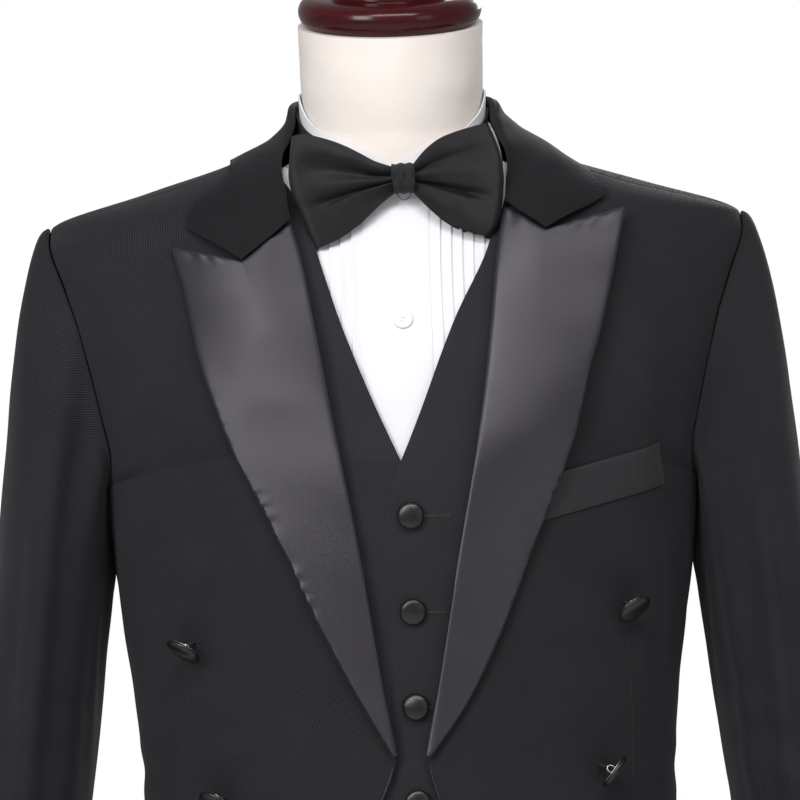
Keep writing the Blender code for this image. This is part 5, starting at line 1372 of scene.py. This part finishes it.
def vest_front(side, sign):
    low_rows, high_rows = 84, 72
    side_part = soft(radians(VEST_UNDER_ARM), 60)
    arm = soft(np.concatenate([side_part[-1:], radians(VEST_FRONT_ARM)]), low_rows + high_rows - 60)
    right = shifted(join(side_part, arm), -HALF_SEAM_TURN)
    meet = -VEST_OVERLAP if sign > 0 else VEST_OVERLAP + SEAM_GAP
    lower_rows = [(meet + 0.012, VEST_POINT), (meet, VEST_POINT + 0.022), (meet, 1.12), (meet, 1.22)]
    point_of_v = (meet + sign * 0.0096, VEST_V[side][0][1])
    lower = divide(FORM.curve(lower_rows + [(meet, 1.2850), point_of_v]), low_rows)
    upper = soft(FORM.curve([point_of_v] + list(VEST_V[side][1:])), high_rows)
    left = join(lower, upper)
    left[-1] = (-HALF_SEAM_TURN, VEST_NECK_HEIGHT)
    columns = 66
    point = (float(FORM.turn_at(0.055, 1.012)), 1.012)
    bottom = divide([tuple(left[0]), point, (math.radians(-30), 1.028), tuple(right[0])], columns)
    top = divide([tuple(left[-1]), tuple(right[-1])], columns)
    grid = sided(fill_patch(bottom, top, left, right), sign)
    return panel(f"vest_front_{side}", FORM, grid, vest_lift(grid[..., 1]), VEST_WALL, "wool_vest",
                 vest_relief, 0.0006)


def vest_back():
    side_part = soft(radians(VEST_UNDER_ARM), 40)
    arm = soft(np.concatenate([side_part[-1:], radians(VEST_BACK_ARM)]), 56)
    left = shifted(join(side_part, arm), HALF_SEAM_TURN)
    right = mirror_turns(left)
    neck_side = (HALF_SEAM_TURN, VEST_NECK_HEIGHT)
    shoulder = divide([tuple(left[-1]), neck_side], 20)
    neck = soft([neck_side, (math.radians(50), 1.489), (math.radians(90), 1.488), (math.radians(130), 1.489),
                 (math.pi - HALF_SEAM_TURN, VEST_NECK_HEIGHT)], 40)
    top = join(shoulder, neck, mirror_turns(shoulder)[::-1])
    bottom = divide([tuple(left[0]), tuple(right[0])], len(top) - 1)
    grid = fill_patch(bottom, top, left, right, 3.0)
    lift = vest_lift(grid[..., 1]) + 0.0018 * ease(1.13, 1.20, grid[..., 1])
    panel("vest_back", FORM, grid, lift, VEST_WALL, "wool_vest", vest_relief, 0.0006)


# A buttonhole's start and end beside the button's middle, half height and drop below it
HOLE_START = 0.0078
HOLE_END = 0.0240
HOLE_HALF = 0.00045
HOLE_DROP = 0.0008


def vest_buttons(front):
    for k, height in enumerate(VEST_BUTTON_HEIGHTS):
        name = f"vest_button_{k + 1}"
        seat, out = seat_on(front, VEST_BUTTON_ACROSS, height)
        lean = unit(out + np.array([0.10 * math.sin(2.3 * k), 0, 0.06 * math.cos(3.1 * k)]))
        centre = seat + out * 0.0021
        made = covered_button(name, centre, lean, VEST_BUTTON_RADIUS)
        stand_for(made, name)
        # The buttonhole shows beside the button: a slit worked with thread, and its bar
        lines = []
        start_x, end_x = VEST_BUTTON_ACROSS + HOLE_START, VEST_BUTTON_ACROSS + HOLE_END
        for offset in (-HOLE_HALF, HOLE_HALF):
            line = []
            for x in np.linspace(start_x, end_x, 24):
                spot, up = seat_on(front, x, height - HOLE_DROP + offset)
                line.append(spot + up * 0.00012)
            lines.append(line)
        bar = []
        for rise in np.linspace(-0.0016, 0.0016, 7):
            spot, up = seat_on(front, end_x, height - HOLE_DROP + rise)
            bar.append(spot + up * 0.00018)
        lines.append(bar)
        trim(tube(f"{name}_hole", lines, 0.00050, "thread", 6), name)


# Shirt and bow tie

# A tuck's section: share of its width, share of its rise
TUCK_PROFILE = ((0.10, 0.02), (0.30, 0.20), (0.50, 0.42), (0.70, 0.68), (0.84, 0.90), (0.92, 1.0),
                (0.975, 0.88), (0.992, 0.30), (1.0, 0.0))
# The shirt front's upper edge: place across, height
SHIRT_TOP = ((0.0, 1.474), (0.030, 1.474), (0.048, 1.478), (0.060, 1.486), (0.068, 1.487), (0.0815, 1.462))


def shirt_front():
    """A plain placket, and rows of narrow tucks, each lapping over the next one outward."""
    places, rises = [], []
    for x in np.linspace(0, PLACKET_HALF - 0.0006, 18):
        places.append(x)
        rises.append(0.0005)
    places += [PLACKET_HALF - 0.0002, PLACKET_HALF]
    rises += [0.00042, 0.0]
    for k in range(TUCK_COUNT):
        start = PLACKET_HALF + TUCK_WIDTH * k
        for share, rise in TUCK_PROFILE:
            places.append(start + TUCK_WIDTH * share)
            rises.append(rise * TUCK_RISE)
    for x in np.linspace(0.001, 0.008, 6):
        places.append(PLACKET_HALF + TUCK_WIDTH * TUCK_COUNT + x)
        rises.append(0.0)
    places, rises = np.array(places), np.array(rises)
    edges = np.concatenate([-places[:0:-1], places])
    rises = np.concatenate([rises[:0:-1], rises])
    tops = smooth_curve(*zip(*SHIRT_TOP))(abs(edges))
    rows = np.linspace(0, 1, 64)[:, None]
    heights = BIB_BOTTOM + rows * (tops[None] - BIB_BOTTOM)
    sway = 0.0006 * ripple(edges[None], heights, 0.09, 21)
    turns = FORM.turn_at(np.broadcast_to(edges, heights.shape) + sway, heights)
    bow_out = 0.0004 * ripple(edges[None], heights, 0.05, 22)
    lift = SHIRT_LIFT + 0.0004 + bow_out
    base = FORM.lifted(turns, heights, lift)
    waver = 1 + 0.18 * ripple(edges[None] * 2, heights, 0.06, 23)
    outer = FORM.lifted(turns, heights, lift + SHIRT_WALL + rises[None] * waver)
    made = wall("shirt_front", outer, base, "cotton", sharp=40)
    stand_for(made, "shirt_front")


SHIRT_COLLAR_LIFT = 0.0008
SHIRT_COLLAR_WALL = 0.0010
BAND_GAP = 0.0009
BAND_WALL = 0.0010
SHIRT_COLLAR_TOP = ((-90, 1.4880), (-80, 1.4935), (-67, 1.5015), (-48, 1.5095), (-25, 1.5225), (0, 1.5365),
                    (45, 1.5375), (90, 1.5375))
SHIRT_COLLAR_FOOT = ((-90, 1.4750), (-60, 1.4800), (-30, 1.4930), (0, 1.5030), (45, 1.5060), (90, 1.5070))


def round_neck(table, turn):
    """A table's height at a turn round the neck, the same on both sides."""
    degrees = np.degrees(np.arcsin(np.clip(np.sin(turn), -1, 1)))
    return smooth_curve(*zip(*table))(degrees)


def neck_strip(name, first, low, high, lift, thickness, rows, look):
    """A strip of cloth round the neck, from a turn in degrees to its mirror, between two heights."""
    turn = np.radians(np.linspace(first, 180 - first, 190))
    share = np.linspace(0, 1, rows)[:, None]
    low, high = low(turn), high(turn)
    heights = low + share * (high - low)
    turns = np.broadcast_to(turn, heights.shape)
    uneven = 0.00016 * ripple(turns * 0.06, heights, 0.03, len(name))
    inner = FORM.lifted(turns, heights, np.full(heights.shape, lift) + uneven)
    outer = FORM.lifted(turns, heights, np.full(heights.shape, lift + thickness) + uneven)
    made = wall(name, outer, inner, look)
    stand_for(made, name)


def shirt_collar():
    neck_strip("shirt_collar", -89.6, lambda t: round_neck(SHIRT_COLLAR_FOOT, t),
               lambda t: round_neck(SHIRT_COLLAR_TOP, t), SHIRT_COLLAR_LIFT, SHIRT_COLLAR_WALL, 16, "cotton")


def bow_band():
    def middle(turn):
        behind_wings = 0.0050 * ease(math.sin(math.radians(-48)), math.sin(math.radians(-66)), np.sin(turn))
        return 0.5 * (round_neck(SHIRT_COLLAR_FOOT, turn) + round_neck(SHIRT_COLLAR_TOP, turn)) - behind_wings

    neck_strip("bow_band", -82, lambda t: middle(t) - 0.0060, lambda t: middle(t) + 0.0060,
               SHIRT_COLLAR_LIFT + SHIRT_COLLAR_WALL + BAND_GAP, BAND_WALL, 10, "bow_satin")


def bow_frame(points):
    """Places on the bow (across, out, up), tilted and bent round the neck."""
    angle = math.radians(BOW_TILT)
    across, out, up = points[..., 0], points[..., 1], points[..., 2]
    x = BOW_CENTRE[0] + across * math.cos(angle) - up * math.sin(angle)
    z = BOW_CENTRE[2] + across * math.sin(angle) + up * math.cos(angle)
    y = BOW_CENTRE[1] - out - 0.3 * across ** 2
    return np.stack([x, y, z], axis=-1)


BOW_HALF_WALL = 0.00045
BOW_ROWS = 56
BOW_HALF_COLUMNS = 46
# Half the knot's width, depth and height
KNOT_HALVES = (0.0068, 0.0056, 0.0088)
# Folds of a wing that run out from the knot: place at the knot and at the end (-1 low, 1 high),
# half width at the knot and the end, depth at the knot and the end in metres
BOW_FOLDS = {
    "right": ((0.30, 0.46, 0.16, 0.24, -0.0038, -0.0034), (-0.10, -0.30, 0.07, 0.09, -0.0036, -0.0034),
              (0.66, 0.84, 0.20, 0.22, 0.0008, 0.0006), (0.08, 0.00, 0.10, 0.20, 0.0012, 0.0018),
              (-0.62, -0.74, 0.22, 0.30, 0.0006, 0.0008)),
    "left": ((0.40, 0.60, 0.10, 0.14, -0.0030, -0.0010), (-0.14, -0.30, 0.07, 0.09, -0.0038, -0.0032),
             (0.72, 0.88, 0.18, 0.18, 0.0008, 0.0006), (0.14, 0.20, 0.12, 0.22, 0.0012, 0.0014),
             (-0.58, -0.70, 0.22, 0.30, 0.0008, 0.0010)),
}


def bow_wing(side, sign):
    """A wing: satin that runs out from the knot, turns over at the end and comes back behind."""
    name = f"bow_wing_{side}"
    rows, half_columns = BOW_ROWS, BOW_HALF_COLUMNS
    up = np.linspace(-1, 1, rows)
    share = np.linspace(0, 1, half_columns)
    top = divide(smooth(np.array(BOW_TOP[side]) / 1000, 1.0), half_columns - 1, 1.0)
    bottom = divide(smooth(np.array(BOW_BOTTOM[side]) / 1000, 1.0), half_columns - 1, 1.0)
    end = divide(smooth(np.array(BOW_END[side]) / 1000, 1.0), rows - 1, 1.0)[::-1]
    root = divide([bottom[0], top[0]], rows - 1, 1.0)
    end[0], end[-1] = bottom[-1], top[-1]
    flat = fill_patch(bottom, top, root, end)
    spread = 0.0012 + 0.0052 * np.sin(np.pi * np.minimum(share, 0.995) * 0.62)
    turn_in = np.sqrt(np.clip(1 - ((share - 0.93) / 0.07).clip(0, 1) ** 2, 0, 1))
    depth = spread[None, :] * turn_in[None, :] * (1 - 0.25 * up[:, None] ** 4)
    folds = np.zeros_like(depth)
    for knot_place, end_place, knot_width, end_width, knot_depth, end_depth in BOW_FOLDS[side]:
        middle = knot_place + (end_place - knot_place) * share
        width = knot_width + (end_width - knot_width) * share
        fade = ease(1.0, 0.62, share)
        deep = (knot_depth + (end_depth - knot_depth) * share) * np.minimum(1, 0.45 + share * 3.5) * fade
        folds += deep[None] * bell((up[:, None] - middle[None]) / width[None])
    full = 0.0014 * np.sin(np.pi * share)[None] * (1 - up[:, None] ** 2)
    fine = 0.00025 * ripple(up[:, None] * 0.02, share[None] * 0.06, 0.014, 31) * ease(1, 0.8, share)[None]
    front = np.stack([flat[..., 0], depth + folds + full + fine, flat[..., 1]], axis=-1)
    low_back = 1 + 0.035 * (1 - ease(-1.0, -0.4, up))[:, None] * share[None] * (1 if side == "left" else 0)
    back = np.stack([flat[..., 0] * 0.995, -0.7 * depth - 0.2 * folds, flat[..., 1] * low_back], axis=-1)
    grid = np.concatenate([front, back[:, ::-1][:, 1:]], axis=1)
    grid[..., 0] *= sign
    normals = grid_normals(grid)
    outer = bow_frame(grid + normals * BOW_HALF_WALL)
    inner = bow_frame(grid - normals * BOW_HALF_WALL)
    stand_for(wall(name, outer, inner, "bow_satin"), name)


HOOK_HALF = 0.0040
HOOK_DROP = 0.0042


def bow_knot():
    count, rows_count = 64, 22
    half_width, half_depth, half_height = KNOT_HALVES
    angles = 2 * math.pi * np.arange(count) / count
    v = np.linspace(-1, 1, rows_count)[:, None]
    swell = 1 + 0.05 * (1 - v * v)
    pleats = 0.00035 * np.cos(v * 7.5 + 0.6 * np.sin(angles)[None] + 0.8) * np.ones((1, count))
    pinch = 1 - 0.10 * np.cos(angles)[None] * (1 - abs(v))
    outer = np.zeros((rows_count, count, 3))
    outer[..., 0] = v * half_width * (1 + 0.06 * np.sin(angles * 2 + 0.7)[None]) * pinch
    outer[..., 1] = 0.0018 + half_depth * np.cos(angles)[None] * swell + pleats * np.cos(angles)[None]
    outer[..., 2] = half_height * np.sin(angles)[None] * swell + pleats * np.sin(angles)[None]
    inner = outer.copy()
    inner[..., 1] = 0.0018 + (outer[..., 1] - 0.0018) * 0.80
    inner[..., 2] = outer[..., 2] * 0.88
    made = wall("bow_knot", bow_frame(outer), bow_frame(inner), "bow_satin", wrap=True)
    stand_for(made, "bow_knot")
    # The hook's ring hangs just below the knot
    angles = np.linspace(-math.pi / 2, math.pi / 2, 24)
    drop = half_height + HOOK_DROP * np.cos(angles)
    loop = np.stack([HOOK_HALF * np.sin(angles), np.full(len(angles), 0.0012), -drop], axis=-1)
    trim(tube("bow_hook", [bow_frame(loop)], 0.00040, "hook", 10), "bow_knot")


def shirt_button():
    turn = float(FORM.turn_at(0.003, SHIRT_BUTTON_HEIGHT))
    axis = FORM.normal(turn, SHIRT_BUTTON_HEIGHT)
    seat = FORM.lifted(turn, SHIRT_BUTTON_HEIGHT, SHIRT_LIFT + SHIRT_WALL + 0.0012)
    shares = ((0, 0), (0.70, 0), (0.92, 0.0003), (1, 0.0008), (0.985, 0.0013), (0.93, 0.0017), (0.86, 0.0018),
              (0.78, 0.0016), (0.70, 0.0012), (0.60, 0.00105), (0.30, 0.0010), (0, 0.0010))
    profile = [(share * SHIRT_BUTTON_RADIUS, height) for share, height in shares]
    made = lathe("shirt_button", profile, "pearl", seat, axis, 48)
    stand_for(made, "shirt_button")
    side_way = unit(np.cross(axis, [0, 0, 1.0]))
    up_way = np.cross(side_way, axis)
    holes, threads = [], []
    for a in (-1, 1):
        for b in (-1, 1):
            middle = seat + axis * 0.00106 + (side_way * a + up_way * b) * SHIRT_HOLE_OUT
            holes.append(ring_round(middle, axis, SHIRT_HOLE_RADIUS, 14))
    holes = [np.concatenate([ring, ring[:1]]) for ring in holes]
    for b in (-1, 1):
        ends = [seat + axis * 0.0010 + (side_way * a + up_way * b) * SHIRT_HOLE_OUT for a in (-1, 1)]
        middle = 0.5 * (ends[0] + ends[1]) + axis * 0.00035
        threads.append(soft([ends[0], middle, ends[1]], 8, 1.0))
    trim(tube("shirt_button_holes", holes, 0.00013, "pale_thread", 5), "shirt_button")
    trim(tube("shirt_button_thread", threads, 0.00025, "pale_thread", 5), "shirt_button")


# Trousers

def crotch_seam(steps):
    """The seam between the legs, from the waist's front to its back: depth, height."""
    front = -float(TROUSERS.front(TROUSER_TOP))
    back = float(TROUSERS.back(TROUSER_TOP))
    rows = [(front, TROUSER_TOP), (-0.1150, 0.990), (-0.1145, 0.905), (-0.088, 0.845), (-0.035, 0.818),
            (0.012, CROTCH), (0.062, 0.829), (0.116, 0.862), (0.1372, 0.904), (0.1215, 0.990),
            (back, TROUSER_TOP)]
    return soft(rows, steps, 1.0)


# The angle, from the leg's outer side, at which its outer part ends and its seam between the legs begins
LEG_SEAM_ANGLE = 132
LEG_OUTER_STEPS = 72
LEG_SEAM_STEPS = 40
LEG_UPPER_ROWS = 42
LEG_LOWER_ROWS = 92
PRESSED_CREASE = 0.0030
# Creases of a trouser leg: height, angle, reach in degrees, half height, depth
LEG_CREASES = ((0.700, 60, 60, 0.012, -0.0022), (0.655, 110, 50, 0.014, -0.0018),
               (0.520, 250, 60, 0.012, -0.0020), (0.470, 230, 50, 0.011, 0.0016),
               (0.450, 270, 46, 0.012, -0.0024), (0.150, 90, 60, 0.012, -0.0022),
               (0.115, 60, 70, 0.013, 0.0018), (0.085, 110, 60, 0.010, -0.0020),
               (0.780, 20, 40, 0.012, -0.0016))
LEG_SLOPE = {"left": 0.00035, "right": -0.00025}


def trouser_leg(side, sign):
    """A leg from the waist's edge to the open hem, joined to the other along the seam between them."""
    name = f"trouser_leg_{side}"
    columns = LEG_OUTER_STEPS + LEG_SEAM_STEPS
    seam = crotch_seam(LEG_SEAM_STEPS)
    waist_turns = np.radians(np.linspace(90, -90, LEG_OUTER_STEPS + 1))
    starts, angles = [], []
    for k in range(LEG_OUTER_STEPS + 1):
        starts.append(TROUSERS.point(waist_turns[k], TROUSER_TOP))
        angles.append(-LEG_SEAM_ANGLE + 2 * LEG_SEAM_ANGLE * k / LEG_OUTER_STEPS)
    for k in range(1, LEG_SEAM_STEPS):
        depth, height = seam[k]
        starts.append(np.array([0.0, depth, height]))
        angles.append(LEG_SEAM_ANGLE + (360 - 2 * LEG_SEAM_ANGLE) * k / LEG_SEAM_STEPS)
    starts, angles = np.array(starts), np.radians(angles)
    gap = 0.5 * SEAM_GAP + TROUSER_WALL * 0.5
    starts[:, 0] = np.maximum(starts[:, 0], gap)
    sections = np.array(LEG_SECTIONS)
    drop = sections[0][0] - sections[:, 0]
    curves = [smooth_curve(drop, sections[:, k]) for k in (1, 2, 3, 4)]

    def ring(down):
        across, depth, half, deep = (curve(down) for curve in curves)
        return np.stack([across + half * np.cos(angles), depth - deep * np.sin(angles),
                         np.full(columns, sections[0][0] - down)], axis=-1)

    first = ring(0.0)
    rings = []
    for j in range(LEG_UPPER_ROWS):
        t = j / LEG_UPPER_ROWS
        points = starts + (first - starts) * np.array([1.0, 1.0, 0.0]) * (t ** 1.5)
        points[:, 2] = starts[:, 2] + (first[:, 2] - starts[:, 2]) * t
        turn = np.arctan2(points[:, 1], points[:, 0])
        on_body = TROUSERS.point(turn, points[:, 2])
        snap = ease(0.765, 0.850, points[:, 2]) * (starts[:, 2] > 0.88)
        points[:, :2] += (on_body[:, :2] - points[:, :2]) * snap[:, None]
        points[:, 0] = np.maximum(points[:, 0], gap)
        rings.append(points)
    rings += [ring(down) for down in np.linspace(0, drop[-1], LEG_LOWER_ROWS)]
    outer = np.array(rings)
    normals = grid_normals(outer, wrap=True)
    centre = outer.mean(axis=1, keepdims=True)
    normals = normals * np.sign(np.sum(normals[-1] * (outer[-1] - centre[-1])))
    heights = outer[..., 2]
    degrees = np.degrees(np.broadcast_to(angles, heights.shape)) % 360
    relief = 0.0005 * ripple(degrees * 0.001, heights, 0.07, 41 if side == "left" else 42)
    relief = relief + cross_creases(degrees, heights, LEG_CREASES, LEG_SLOPE[side])
    # Pressed creases down the middle of the front and the back
    for middle in (90, 270):
        off = off_angle(degrees, middle)
        relief = relief + PRESSED_CREASE * np.exp(-(abs(off) / 5.0) ** 1.3) * ease(0.86, 0.70, heights)
    relief = relief * ease(0.90, 0.80, heights)
    outer = outer + normals * relief[..., None]
    inner = outer - normals * TROUSER_WALL
    inner[..., 0] = np.maximum(inner[..., 0], gap * 0.35)
    outer[..., 0] = np.maximum(outer[..., 0], gap * 0.35)
    if sign < 0:
        outer, inner = mirror_points(outer), mirror_points(inner)
    stand_for(wall(name, outer, inner, "wool", wrap=True), name)


# Dress form and stand

FORM_ROWS = 36
FORM_NECK_ROWS = 60
FORM_COLUMNS = 144
# How far inside its solid the form's linen lies
LINEN_DEPTH = 0.0003


def form_body():
    heights = np.concatenate([np.linspace(FORM_BOTTOM, NECK_FOOT, FORM_ROWS, endpoint=False),
                              np.linspace(NECK_FOOT, FORM_TOP, FORM_NECK_ROWS)])
    count = FORM_COLUMNS
    turns = np.radians(np.arange(count) * 360 / count)
    rings = np.array([FORM.point(turns, z) for z in heights])
    uneven = 0.00025 * ripple(turns[None] * 0.06, heights[:, None], 0.03, 51)
    inward = rings.copy()
    inward[..., 2] = 0
    inward[..., :2] /= np.linalg.norm(inward[..., :2], axis=-1, keepdims=True)
    below_cap = ease(FORM_TOP, FORM_TOP - 0.01, heights)[:, None, None]
    rings = rings - inward * (LINEN_DEPTH + uneven)[..., None] * below_cap
    uv = uv_of(rings, True)
    faces, corner_uv = [], []
    for r in range(len(heights) - 1):
        for c in range(count):
            d = (c + 1) % count
            low, high = r * count, (r + 1) * count
            faces.append((low + c, low + d, high + d, high + c))
            corner_uv += [uv[r, c], uv[r, c + 1], uv[r + 1, c + 1], uv[r + 1, c]]
    faces.append(tuple(reversed(range(count))))
    corner_uv += [uv[0, c] for c in reversed(range(count))]
    top = (len(heights) - 1) * count
    faces.append(tuple(range(top, top + count)))
    corner_uv += [uv[-1, c] for c in range(count)]
    made = finish_mesh("form_body", rings.reshape(-1, 3), faces, np.array(corner_uv), "linen")
    stand_for(made, "form_body")


def form_cap():
    """The turned wooden cap on the neck: a round-edged disc, a smaller tier and a knob."""
    corners = [(0.0530, 0.0003), (0.0560, 0.0040), (0.0574, 0.0095), (0.0556, 0.0150), (0.0500, 0.0182),
               (0.0372, 0.0198), (0.0360, 0.0300), (0.0300, 0.0340), (0.0130, 0.0360), (0.0120, 0.0430),
               (0.0185, 0.0500), (0.0210, 0.0600), (0.0170, 0.0700), (0.0080, 0.0755)]
    curve = divide(smooth(corners, 1.0, 12), 90, 1.0)
    profile = [(0, 0.0003)] + [tuple(row) for row in curve] + [(0, 0.0762)]
    made = lathe("form_cap", profile, "wood", (0, 0, FORM_TOP), np.array([0, -NECK_TILT, 1.0]), 96)
    stand_for(made, "form_cap")


def stand():
    foot = BASE_HEIGHT
    edge = [(BASE_RADIUS - 0.001, 0.0), (BASE_RADIUS, 0.001), (BASE_RADIUS, foot - 0.0015),
            (BASE_RADIUS - 0.0006, foot - 0.0006), (BASE_RADIUS - 0.002, foot)]
    stand_for(lathe("stand_base", [(0, 0)] + edge + [(0, foot)], "steel", (0, 0, 0), (0, 0, 1), 160),
              "stand_base")
    length = FORM_BOTTOM - foot - 0.0006
    profile = [(0, 0), (0.0296, 0), (0.030, 0.0004), (0.030, 0.0036), (0.0292, 0.0042), (0.0160, 0.0060),
               (0.0138, 0.0072), (POLE_RADIUS, 0.009), (POLE_RADIUS, length - 0.006),
               (0.0315, length - 0.0052), (0.032, length - 0.0048), (0.032, length - 0.0002),
               (0.0318, length), (0, length)]
    stand_for(lathe("stand_pole", profile, "steel", (POLE_ACROSS, 0, foot + 0.0003), (0, 0, 1), 64),
              "stand_pole")


# Studio

FLOOR_REACH = 3.2
FLOOR_DROP = 0.0005
WORLD_AROUND = 0.42
# Lights: name, place, what they are turned to, width and height, watts
LIGHTS = (
    ("key", (-1.8, -2.6, 2.5), (0, 0, 1.35), (1.2, 1.2), 52),
    ("fill", (2.2, -2.4, 1.9), (0, 0, 1.3), (1.0, 1.4), 6),
    ("top", (0.1, -1.7, 2.75), (0, 0, 1.38), (1.8, 0.4), 27),
    ("back", (0.9, 2.6, 2.5), (0, 0, 1.2), (1.6, 1.2), 42),
)
CAMERA_PLACE = (0, -2.5, 1.345)
CAMERA_LENS = 180
CAMERA_SENSOR = 36
CAMERA_ROLL = -1.5


def studio():
    """A pale floor, a white background that only the camera sees, and soft lights."""
    floor_mesh = bpy.data.meshes.new("floor")
    corners = [(FLOOR_REACH * x, FLOOR_REACH * y, 0) for x, y in ((-1, -1), (1, -1), (1, 1), (-1, 1))]
    floor_mesh.from_pydata(corners, [], [(0, 1, 2, 3)])
    made, _, _ = new_material("floor_paper", (0.93, 0.93, 0.93), 0.9)
    floor_mesh.materials.append(made)
    floor = bpy.data.objects.new("floor", floor_mesh)
    bpy.context.scene.collection.objects.link(floor)
    floor.location = (0, 0, -FLOOR_DROP)

    bpy.context.scene.view_settings.view_transform = "Standard"
    world = bpy.data.worlds.new("studio")
    bpy.context.scene.world = world
    world.use_nodes = True
    tree = world.node_tree
    seen = tree.nodes["Background"]
    seen.inputs["Color"].default_value = (1.0, 1.0, 1.0, 1)
    around = tree.nodes.new("ShaderNodeBackground")
    around.inputs["Strength"].default_value = WORLD_AROUND
    mix = tree.nodes.new("ShaderNodeMixShader")
    tree.links.new(tree.nodes.new("ShaderNodeLightPath").outputs["Is Camera Ray"], mix.inputs[0])
    tree.links.new(around.outputs[0], mix.inputs[1])
    tree.links.new(seen.outputs[0], mix.inputs[2])
    tree.links.new(mix.outputs[0], tree.nodes["World Output"].inputs["Surface"])

    for name, spot, target, size, power in LIGHTS:
        lamp = bpy.data.lights.new(name, "AREA")
        lamp.shape = "RECTANGLE"
        lamp.size, lamp.size_y = size
        lamp.energy = power
        lit = bpy.data.objects.new(name, lamp)
        bpy.context.scene.collection.objects.link(lit)
        lit.location = spot
        lit.rotation_mode = "QUATERNION"
        lit.rotation_quaternion = (Vector(target) - Vector(spot)).to_track_quat("-Z", "Y")


def camera():
    data = bpy.data.cameras.new("camera")
    data.lens = CAMERA_LENS
    data.sensor_width = CAMERA_SENSOR
    data.clip_end = 100
    made = bpy.data.objects.new("camera", data)
    bpy.context.scene.collection.objects.link(made)
    made.matrix_world = (Matrix.Translation(CAMERA_PLACE) @ Matrix.Rotation(math.radians(90), 4, "X")
                         @ Matrix.Rotation(math.radians(CAMERA_ROLL), 4, "Z"))
    bpy.context.scene.camera = made


def main():
    form_body()
    form_cap()
    stand()
    shirt_front()
    shirt_collar()
    shirt_button()
    bow_band()
    bow_knot()
    vest_back()
    coat_collar()
    breast_pocket()
    vests, fronts = {}, {}
    for side, sign in SIDES:
        trouser_leg(side, sign)
        vests[side] = vest_front(side, sign)
        bow_wing(side, sign)
        fronts[side] = coat_front(side, sign)
        coat_side(side, sign)
        coat_back(side, sign)
        coat_skirt(side, sign)
        coat_sleeve(side, sign)
        coat_lapel(side, sign)
    vest_buttons(vests["left"])
    coat_buttons(fronts)
    studio()
    camera()


main()
